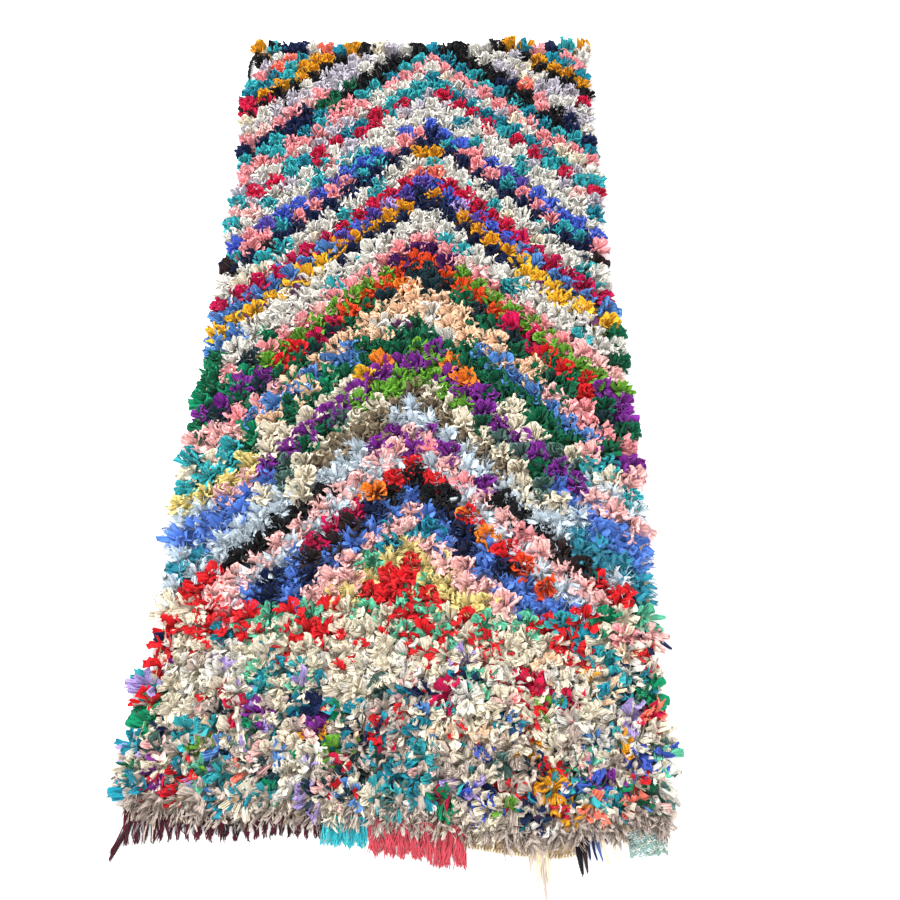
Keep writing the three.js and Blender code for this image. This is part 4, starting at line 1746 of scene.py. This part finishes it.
@dataclass(frozen=True)
class Tassel:
    """Some locks that leave the near edge side by side.

    Attributes:
        name: The solid that it replaces.
        slot: Its material slot in the record.
        depth: How far the strip behind it reaches past the edge.
        locks: Its locks.
    """

    name: str
    slot: str
    depth: float
    locks: tuple[Lock, ...]


EDGE_LOCKS = (
    Lock(231, -5, 20, 9, Dye.TAUPE), Lock(240, -1, 56, 10, Dye.BEIGE_PALE),
    Lock(247, 3, 64, 9, Dye.TAUPE), Lock(253, 4, 44, 7, Dye.BEIGE_PALE),
)
TASSELS: tuple[Tassel, ...] = (
    Tassel("dark_tassel", "dark_yarn", 7 * MM, (
        Lock(308, 6, 51, 11, Dye.BLACK), Lock(318, 4, 46, 8, Dye.BROWN_BLACK),
        Lock(325, 3, 30, 5, Dye.NAVY), Lock(332, 7, 30, 4.5, Dye.NAVY),
        Lock(340, 9, 34, 4.5, Dye.DENIM), Lock(348, 11, 40, 4.5, Dye.PEACH),
    )),
    Tassel("cream_ends", "cream_thread", 7 * MM, (
        Lock(369, 3, 35, 2.6, Dye.BEIGE_PALE), Lock(376, 7, 28, 2.6, Dye.CREAM),
        Lock(385, 7, 19, 2.6, Dye.CREAM), Lock(391, -22, 6, 2.2, Dye.BEIGE_PALE),
        Lock(394, -26, 9, 2.2, Dye.CREAM), Lock(393, -18, 12, 2.0, Dye.WHITE),
    )),
)


@dataclass
class Spinner:
    """Spins the rug's loose yarns, cords, stitches and fleece.

    Attributes:
        plan: The outline and the grid.
        shift: From the plan's place to the frame.
        seed: The seed of the yarns' bends.
        steps: Points along a yarn.
        sides: Points round it.
        lowest: Height of a yarn's tip.
        rng: The source of the bends.
        tree: The tree that spins drawn lines.
        finish: The yarns' finish.
    """

    plan: RugPlan
    shift: Vector
    seed: int = 5
    steps: int = 8
    sides: int = 5
    lowest: float = 0.0014
    rng: np.random.Generator = field(init=False)
    tree: YarnTree = field(init=False)
    finish: bpy.types.Material = field(init=False)

    def __post_init__(self) -> None:
        """Starts the random numbers and builds the tree and the yarn's finish."""
        self.rng = np.random.default_rng(self.seed)
        self.tree = YarnTree()
        # The yarns' finish paints a little shade at their roots.
        self.finish = ClothFinish(
            "fringe_yarn", sheen=0.1, wrinkles=1.0, wrinkle_depth=0.0004, root_painted_shade=0.75
        ).make()

    def yarn(
        self, x: float, back: float, drift: float, reach: float, lift: float, crinkle: float,
    ) -> np.ndarray:
        """Draws one yarn from behind the edge to its tip near the floor.

        Args:
            x: Where it leaves the edge.
            back: How far behind the edge it begins.
            drift: How far its tip strays sideways.
            reach: How far its tip lies past the edge.
            lift: How high it lies at its root.
            crinkle: How far its own waves stray.

        Returns:
            Its points in the plan's place.
        """
        turns, sways, ripple, droop, bend = (6, 14), (0.8, 2), 0.0006, 1.4, 1.6
        share = np.linspace(0, 1, self.steps)
        y = self.plan.near_edge(x) - self.plan.gap + back - (back + reach) * share
        wave = np.sin(share * self.rng.uniform(*turns) + self.rng.uniform(0, math.tau))
        sway = self.rng.normal(0, crinkle) * np.sin(share * math.pi * self.rng.uniform(*sways))
        z = self.lowest + lift * (1 - share) ** droop + ripple * (1 + wave) * (1 - share)
        return np.stack([x + drift * share**bend + sway + 0.5 * crinkle * wave * share, y, z], axis=1)

    def spin(
        self, name: str, lines: Sequence[np.ndarray], radii: Sequence[float], dyes: Sequence[Dye],
    ) -> bpy.types.Object:
        """Turns drawn lines into one piece of yarns.

        Args:
            name: The piece's name.
            lines: The points of each yarn, in the plan's place.
            radii: Each yarn's radius.
            dyes: Each yarn's dye.

        Returns:
            The piece.
        """
        mesh = bpy.data.meshes.new("yarn_lines")
        points = np.concatenate(lines) + np.array(self.shift)
        edges, first = [], 0
        for line in lines:
            edges += [(first + n, first + n + 1) for n in range(len(line) - 1)]
            first += len(line)
        mesh.from_pydata([tuple(p) for p in points], edges, [])
        share = np.concatenate([np.linspace(0, 1, len(line)) for line in lines])
        sizes = np.concatenate([np.full(len(line), r) for line, r in zip(lines, radii)])
        keys = np.concatenate([np.full(len(line), self.rng.random()) for line in lines])
        # The yarns' marks start past the root, so the finish paints only a little shade where they leave
        # the edge, and the ridge mark gives them a plain strip's painted shade.
        thinning, petals, length, past_root, none = 0.5, 0.6, 0.03, 0.4, share * 0
        values = {
            "yarn_radius": sizes * (1 - thinning * share**3), "petal": keys * petals,
            "tuft_seed": keys, "strip_u": none, "strip_v": share * length,
            "strip_share": past_root + share, "ridge": none + PLAIN_STRIP_PAINTED_LIGHT, "dye_share": none + 1,
        }
        for attribute_name, row in values.items():
            mark(mesh, attribute_name, "FLOAT", row)
        colours = np.concatenate([
            np.tile((*dye.linear(), 1.0), (len(line), 1)) for line, dye in zip(lines, dyes)
        ])
        for attribute_name in ("dye_a", "dye_b", "dye_c"):
            mark(mesh, attribute_name, "FLOAT_COLOR", colours)
        piece = self.tree.run(mesh, name, Sides=self.sides, Finish=self.finish)
        recalculate_normals(piece.data)
        piece.data.shade_smooth()
        return piece


@dataclass
class NearEnd:
    """The fringes, tassels and woven ends along the near edge.

    Attributes:
        spinner: What spins their yarns.
        edge_from, edge_to: Where the beige edge begins and ends, in the plan's place.
        edge_depth, header_depth: How far the beige edge and the grey-green end reach past the edge.
        edge_cord: Radius of the cord under the beige edge's stitches.
        shortest: The shortest yarn of a fringe.
        lock_root: How far a lock begins behind the edge.
        stitch_pitch: Distance between two stitches over the beige edge.
        band_cell, band_steps: Size of a woven band's cells, and how many lie from root to rim.
        band_root, band_thickness: How far a band begins behind the edge, and its thickness.
        fleece_count: Fibres over the grey-green end.
    """

    spinner: Spinner
    edge_from: float = 118 * MM
    edge_to: float = 304 * MM
    edge_depth: float = 26 * MM
    edge_cord: float = 3.4 * MM
    header_depth: float = 38 * MM
    shortest: float = 0.01
    lock_root: float = 6 * MM
    stitch_pitch: float = 5.2 * MM
    band_cell: float = 4 * MM
    band_steps: int = 4
    band_root: float = 4 * MM
    band_thickness: float = 2.6 * MM
    fleece_count: int = 270

    def row(self, row: YarnRow) -> bpy.types.Object:
        """Spins one row of yarns that fall into bunches.

        Args:
            row: The row.

        Returns:
            The piece.
        """
        rng, yarn = self.spinner.rng, self.spinner.yarn
        aside_stray, clump_waves, full_reach, reach_stray, drift_stray = 0.4, 31, 0.95, 0.7, 0.002
        first_lift, layer_lift, layer_rise, thickness = 0.002, 1.8, 0.9, (0.8, 1.15)
        lines, radii, dyes = [], [], []
        count = int((row.stop - row.start) / row.pitch)
        pitch = (row.stop - row.start) / count
        for layer in range(row.layers):
            for n in range(count):
                x = row.start + (n + 0.5 + rng.uniform(-aside_stray, aside_stray)) * pitch
                uneven = 0.5 * math.sin(x * clump_waves)
                aside = x - (math.floor(x / row.clump + uneven) + 0.5 - uneven) * row.clump
                near = max(0.0, 1 - abs(aside) / row.clump)
                reach = row.reach * (1 - row.converge * (full_reach - near))
                reach += row.spread * rng.normal(0, reach_stray)
                reach += row.longer * max(0.0, 1 - abs(x - row.longest) / row.tapers)
                drift = -row.converge * aside + rng.normal(0, drift_stray)
                lift = first_lift + layer * row.radius * layer_lift
                lines.append(yarn(x, row.root, drift, max(self.shortest, reach), lift, row.crinkle))
                lines[-1][:, 2] += layer * row.radius * layer_rise
                radii.append(row.radius * rng.uniform(*thickness))
                dyes.append(row.dyes.draw(rng))
        lock = row.corner
        for n in range(lock.count if lock else 0):
            aside = rng.uniform(-lock.half_width, lock.half_width)
            drift, reach = lock.drift - lock.gather * aside, lock.reach * rng.uniform(lock.shortest, 1.0)
            lines.append(yarn(lock.x + aside, row.root, drift, reach, lock.lift, lock.crinkle))
            lines[-1][:, 2] += lock.radius * (n % 3)
            radii.append(lock.radius)
            dyes.append(lock.dyes.draw(rng))
        return self.spinner.spin(f"{row.name}_yarns", lines, radii, dyes)

    def hang(self, locks: Sequence[Lock], depth: float) -> tuple[list, list, list]:
        """Draws the yarns of some locks.

        Args:
            locks: The locks.
            depth: How far the strip behind them reaches past the edge.

        Returns:
            The lines, radii and dyes of their yarns.
        """
        radius, crinkle, lift, rise = 0.0010, 0.0005, 0.0022, 0.0012
        fewest, to_a_millimetre, gather, reaches = 3, 1.6, 0.75, (0.8, 1.04)
        lines, radii, dyes = [], [], []
        for lock in locks:
            count = max(fewest, round(lock.width * to_a_millimetre))
            for n in range(count):
                aside = (n / (count - 1) - 0.5) * lock.width * MM
                reach = depth + lock.reach * MM * self.spinner.rng.uniform(*reaches)
                drift = lock.drift * MM - aside * gather
                line = self.spinner.yarn(
                    lock.x * MM + aside, self.lock_root, drift, reach, lift + rise * (n % 2), crinkle
                )
                line[:, 2] += radius * (n % 3)
                lines.append(line)
                radii.append(radius)
                dyes.append(lock.dye)
        return lines, radii, dyes

    def band(self, name: str, start: float, stop: float, depth: float, dye: Dye) -> bpy.types.Object:
        """Builds a narrow woven band along the near edge.

        Args:
            name: The piece's name.
            start: Where it begins, in the plan's place.
            stop: Where it ends.
            depth: How far it reaches past the edge.
            dye: Its dye.

        Returns:
            The piece.
        """
        rng, plan = self.spinner.rng, self.spinner.plan
        over_floor, wave, cells_wave, stray, lifts = 0.2 * MM, 0.06, 1.7, 0.04, (-0.3, 0.4)
        across = round((stop - start) / self.band_cell)
        points = []
        for z, top in ((over_floor, False), (self.band_thickness, True)):
            for i in range(across + 1):
                x = start + (stop - start) * i / across
                uneven = 1.0 + wave * math.sin(i * cells_wave) + rng.uniform(-stray, stray)
                for j in range(self.band_steps + 1):
                    long = (depth * uneven + self.band_root) * j / self.band_steps
                    lift = rng.uniform(*lifts) * MM if top else 0.0
                    place = Vector((x, plan.near_edge(x) + self.band_root - long, z + lift))
                    points.append(place + self.spinner.shift)
        mesh = closed_sheet(name, across, self.band_steps, points)
        mesh.materials.append(WeaveFinish(f"{name}_weave", dye).make())
        return add_object(name, mesh)

    def stitches(self) -> bpy.types.Object:
        """Whips the beige edge with stitches and hangs its cream tassel.

        Returns:
            The piece.
        """
        spinner, cord = self.spinner, self.edge_cord
        turn, aslant, middle, high, lowest = (-0.35, 1.15), 1.6 * MM, 3.2 * MM, 2.4 * MM, 1.5 * MM
        thread, thickness = 1.4 * MM, (0.85, 1.1)
        lines, radii, dyes = [], [], []
        around = np.linspace(*turn, spinner.steps) * math.pi
        slant = np.linspace(-1, 1, spinner.steps) * aslant
        height = np.maximum(middle + high * np.sin(around), lowest)
        for n in range(int((self.edge_to - self.edge_from) / self.stitch_pitch)):
            x = self.edge_from + (n + 0.5) * self.stitch_pitch
            y = spinner.plan.near_edge(x) - self.edge_depth + cord
            lines.append(np.stack([x + slant, y - cord * np.cos(around), height], axis=1))
            radii.append(thread * spinner.rng.uniform(*thickness))
            dyes.append(spinner.rng.choice([Dye.BEIGE, Dye.BEIGE_PALE]))
        hung = self.hang(EDGE_LOCKS, self.edge_depth)
        return spinner.spin("beige_edge_yarns", lines + hung[0], radii + hung[1], dyes + hung[2])

    def fleece(self) -> bpy.types.Object:
        """Scatters short curled fibres over the grey-green end.

        Returns:
            The piece.
        """
        rng, plan = self.spinner.rng, self.spinner.plan
        inside, turns, halves, bends = 1 * MM, (0.2, 0.8), (2.5, 5), (-1.5, 1.5)
        low, high, rises, radius = 2.4 * MM, 1.6 * MM, (0.5, 1.4), 0.8 * MM
        lines, dyes = [], []
        mixed = mix(grey_green=5, slate_green=2, pale_wool=3, cream=1)
        share = np.linspace(-1, 1, 5)
        bow = 1 - share**2
        for _ in range(self.fleece_count):
            x = rng.uniform(plan.header_from + inside, plan.header_to - inside)
            y = plan.near_edge(x) + rng.uniform(-self.header_depth - inside, self.band_root)
            turn = rng.normal(*turns)
            half = rng.uniform(*halves) * MM
            bend = rng.uniform(*bends) * MM * bow
            lines.append(np.stack([
                x + half * share * math.cos(turn) - bend * math.sin(turn),
                y + half * share * math.sin(turn) + bend * math.cos(turn),
                low + high * bow * rng.uniform(*rises),
            ], axis=1))
            dyes.append(mixed.draw(rng))
        return self.spinner.spin("green_header_fleece", lines, [radius] * len(lines), dyes)

    def build(self) -> list[bpy.types.Object]:
        """Builds everything along the near edge.

        Returns:
            The pieces.
        """
        plan = self.spinner.plan
        made = [(self.row(row), row.slot, row.name) for row in YARN_ROWS]
        made += [
            (self.spinner.spin(f"{t.name}_yarns", *self.hang(t.locks, t.depth)), t.slot, t.name)
            for t in TASSELS
        ]
        edge = self.band(
            "beige_edge_band", self.edge_from, self.edge_to, self.edge_depth - 3 * MM, Dye.BEIGE
        )
        header = self.band(
            "green_header_band", plan.header_from, plan.header_to, self.header_depth, Dye.GREY_GREEN
        )
        made += [
            (edge, "beige_cotton", "beige_edge"), (self.stitches(), "beige_cotton", None),
            (header, "green_weave", "green_header"), (self.fleece(), "green_weave", None),
        ]
        for piece, slot, node in made:
            if node:
                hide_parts(node)
        return [piece for piece, _, _ in made]


@dataclass
class Selvedge:
    """The cords along the two long sides, dark at the far left.

    Attributes:
        spinner: What spins the cords.
        radius, dark_radius: Radius of a cord, and of the dark one.
        begins, dark_to: Shares of the length at which the cords begin and the dark one ends.
        out, bulge: How far the cords stand away from the weave, and how much more the dark one.
        twist: Turns of the two plies over the length, in radians.
        ply: A ply's radius and its distance from the cord's middle, as shares of the cord's.
        steps, dark_steps: Points along a cord, and along the dark one.
    """

    spinner: Spinner
    radius: float = 2.2 * MM
    dark_radius: float = 4.0 * MM
    begins: float = 0.004
    dark_to: float = 0.075
    out: float = 1 * MM
    bulge: float = 25 * MM
    twist: float = 700.0
    ply: tuple[float, float] = (0.75, 0.8)
    steps: int = 110
    dark_steps: int = 24

    def _cord(self, side: int, start: float, stop: float, dark: bool) -> list[np.ndarray]:
        """Draws one cord of two plies.

        Args:
            side: 0 at the left and 1 at the right.
            start: Where it begins, as a share of the length.
            stop: Where it ends.
            dark: Whether it is the dark one.

        Returns:
            The points of each ply in the plan's place.
        """
        share = np.linspace(start, stop, self.dark_steps if dark else self.steps)
        places = np.array([self.spinner.plan.local(side, v) for v in share])
        bulge = dark * self.bulge * np.sin((share - start) / (stop - start) * math.pi)
        x = places[:, 0] + (side * 2 - 1) * (self.out + bulge)
        cord = self.dark_radius if dark else self.radius
        lines = []
        for turned in (0.0, math.pi):
            wind, away = share * self.twist + turned, self.ply[1] * cord
            lines.append(np.stack(
                [x + away * np.cos(wind), places[:, 1], 2 * cord + away * np.sin(wind)], axis=1
            ))
        return lines

    def build(self) -> bpy.types.Object:
        """Spins both sides' cords.

        Returns:
            The cords as one piece.
        """
        lines, radii, dyes = [], [], []
        stretches = ((0, self.begins, self.dark_to, True), (0, self.dark_to, 1.0, False))
        for side, start, stop, dark in (*stretches, (1, self.begins, 1.0, False)):
            lines += self._cord(side, start, stop, dark)
            radii += [(self.dark_radius if dark else self.radius) * self.ply[0]] * 2
            dyes += [Dye.BLACK if dark else Dye.BEIGE] * 2
        piece = self.spinner.spin("selvedge_cords", lines, radii, dyes)
        return piece


@dataclass(frozen=True)
class SoftLight:
    """One soft square light that faces the rug, with its place, width and power in watts."""

    name: str
    place: tuple[float, float, float]
    size: float
    power: float

    def add(self) -> None:
        """Puts the light into the scene."""
        data = bpy.data.lights.new(self.name, "AREA")
        data.size = self.size
        data.energy = self.power
        obj = add_object(self.name, data)
        obj.location = self.place
        obj.rotation_euler = (-Vector(self.place)).to_track_quat("-Z", "Y").to_euler()


@dataclass(frozen=True)
class Studio:
    """The pale floor, the soft light and the camera.

    Attributes:
        shift: From the plan's place to the frame.
        eye: The camera's place in the plan's place.
        lean: The camera's turn from straight down, in degrees.
        lens, sensor: Its focal length and its sensor's width, in millimetres.
        half, below: Half the floor's width, and how far it lies below the rug.
        shade, floor_roughness: How much light the floor throws back, and how rough it is.
        sky: How strong the light from all round is.
        lights: The lights.
    """

    shift: Vector
    eye: tuple[float, float, float] = (0.0915, -1.21, 1.66)
    lean: float = 29.43
    lens: float = 36.0
    sensor: float = 36.0
    half: float = 12.0
    below: float = 0.4 * MM
    shade: float = 0.96
    floor_roughness: float = 0.9
    sky: float = 0.84
    lights: tuple[SoftLight, ...] = (
        SoftLight("key", (-2.2, 1.6, 3.4), 1.2, 310), SoftLight("fill", (1.2, -2.6, 3.2), 2.6, 130),
    )

    def camera(self) -> None:
        """Puts the camera at the photograph's place."""
        data = bpy.data.cameras.new("camera")
        data.lens = self.lens
        data.sensor_width = self.sensor
        obj = add_object("camera", data)
        obj.location = Vector(self.eye) + self.shift
        obj.rotation_euler = (math.radians(self.lean), 0.0, 0.0)
        bpy.context.scene.camera = obj

    def floor(self) -> None:
        """Lays the floor."""
        mesh = bpy.data.meshes.new("floor")
        half, low = self.half, -self.below
        corners = [(-half, -half, low), (half, -half, low), (half, half, low), (-half, half, low)]
        mesh.from_pydata(corners, [], [(0, 1, 2, 3)])
        material = bpy.data.materials.new("pale_floor")
        material.use_nodes = True
        shader = material.node_tree.nodes["Principled BSDF"]
        shader.inputs["Base Color"].default_value = (self.shade, self.shade, self.shade, 1)
        shader.inputs["Roughness"].default_value = self.floor_roughness
        mesh.materials.append(material)
        add_object("floor", mesh)

    def build(self) -> None:
        """Sets up the whole studio."""
        self.camera()
        self.floor()
        for light in self.lights:
            light.add()
        world = bpy.data.worlds.new("studio")
        world.use_nodes = True
        background = world.node_tree.nodes["Background"]
        background.inputs["Color"].default_value = (1, 1, 1, 1)
        background.inputs["Strength"].default_value = self.sky
        bpy.context.scene.world = world
        bpy.context.scene.view_settings.view_transform = "Standard"


def triangles(pieces: Iterable[bpy.types.Object]) -> int:
    """Counts the triangles of some pieces, and logs each piece's own.

    Args:
        pieces: The pieces.

    Returns:
        Their triangles in all.
    """
    total = 0
    for piece in pieces:
        count = sum(len(polygon.vertices) - 2 for polygon in piece.data.polygons)
        log.info("%s: %d triangles", piece.name, count)
        total += count
    return total


def main() -> None:
    """Builds the rug around the frame."""
    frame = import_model()
    plan = RugPlan()
    shift = plan.shift()

    knotted = Pile(plan, Chart(), shift)
    pile = knotted.build()
    weave = GroundWeave(plan, shift)
    ground = weave.build(knotted.grounds)
    spinner = Spinner(plan, shift)
    near = [*NearEnd(spinner).build(), Selvedge(spinner).build()]
    for piece in [*pile, ground, *near]:
        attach(piece, BODY)
    weave.size()
    min(weave.area(), math.prod(weave.size()))
    log.info("in all %d triangles on %d bodies", triangles([*pile, ground, *near]), len(frame["bodies"]))
    Studio(shift).build()


if __name__ == "__main__":
    main()
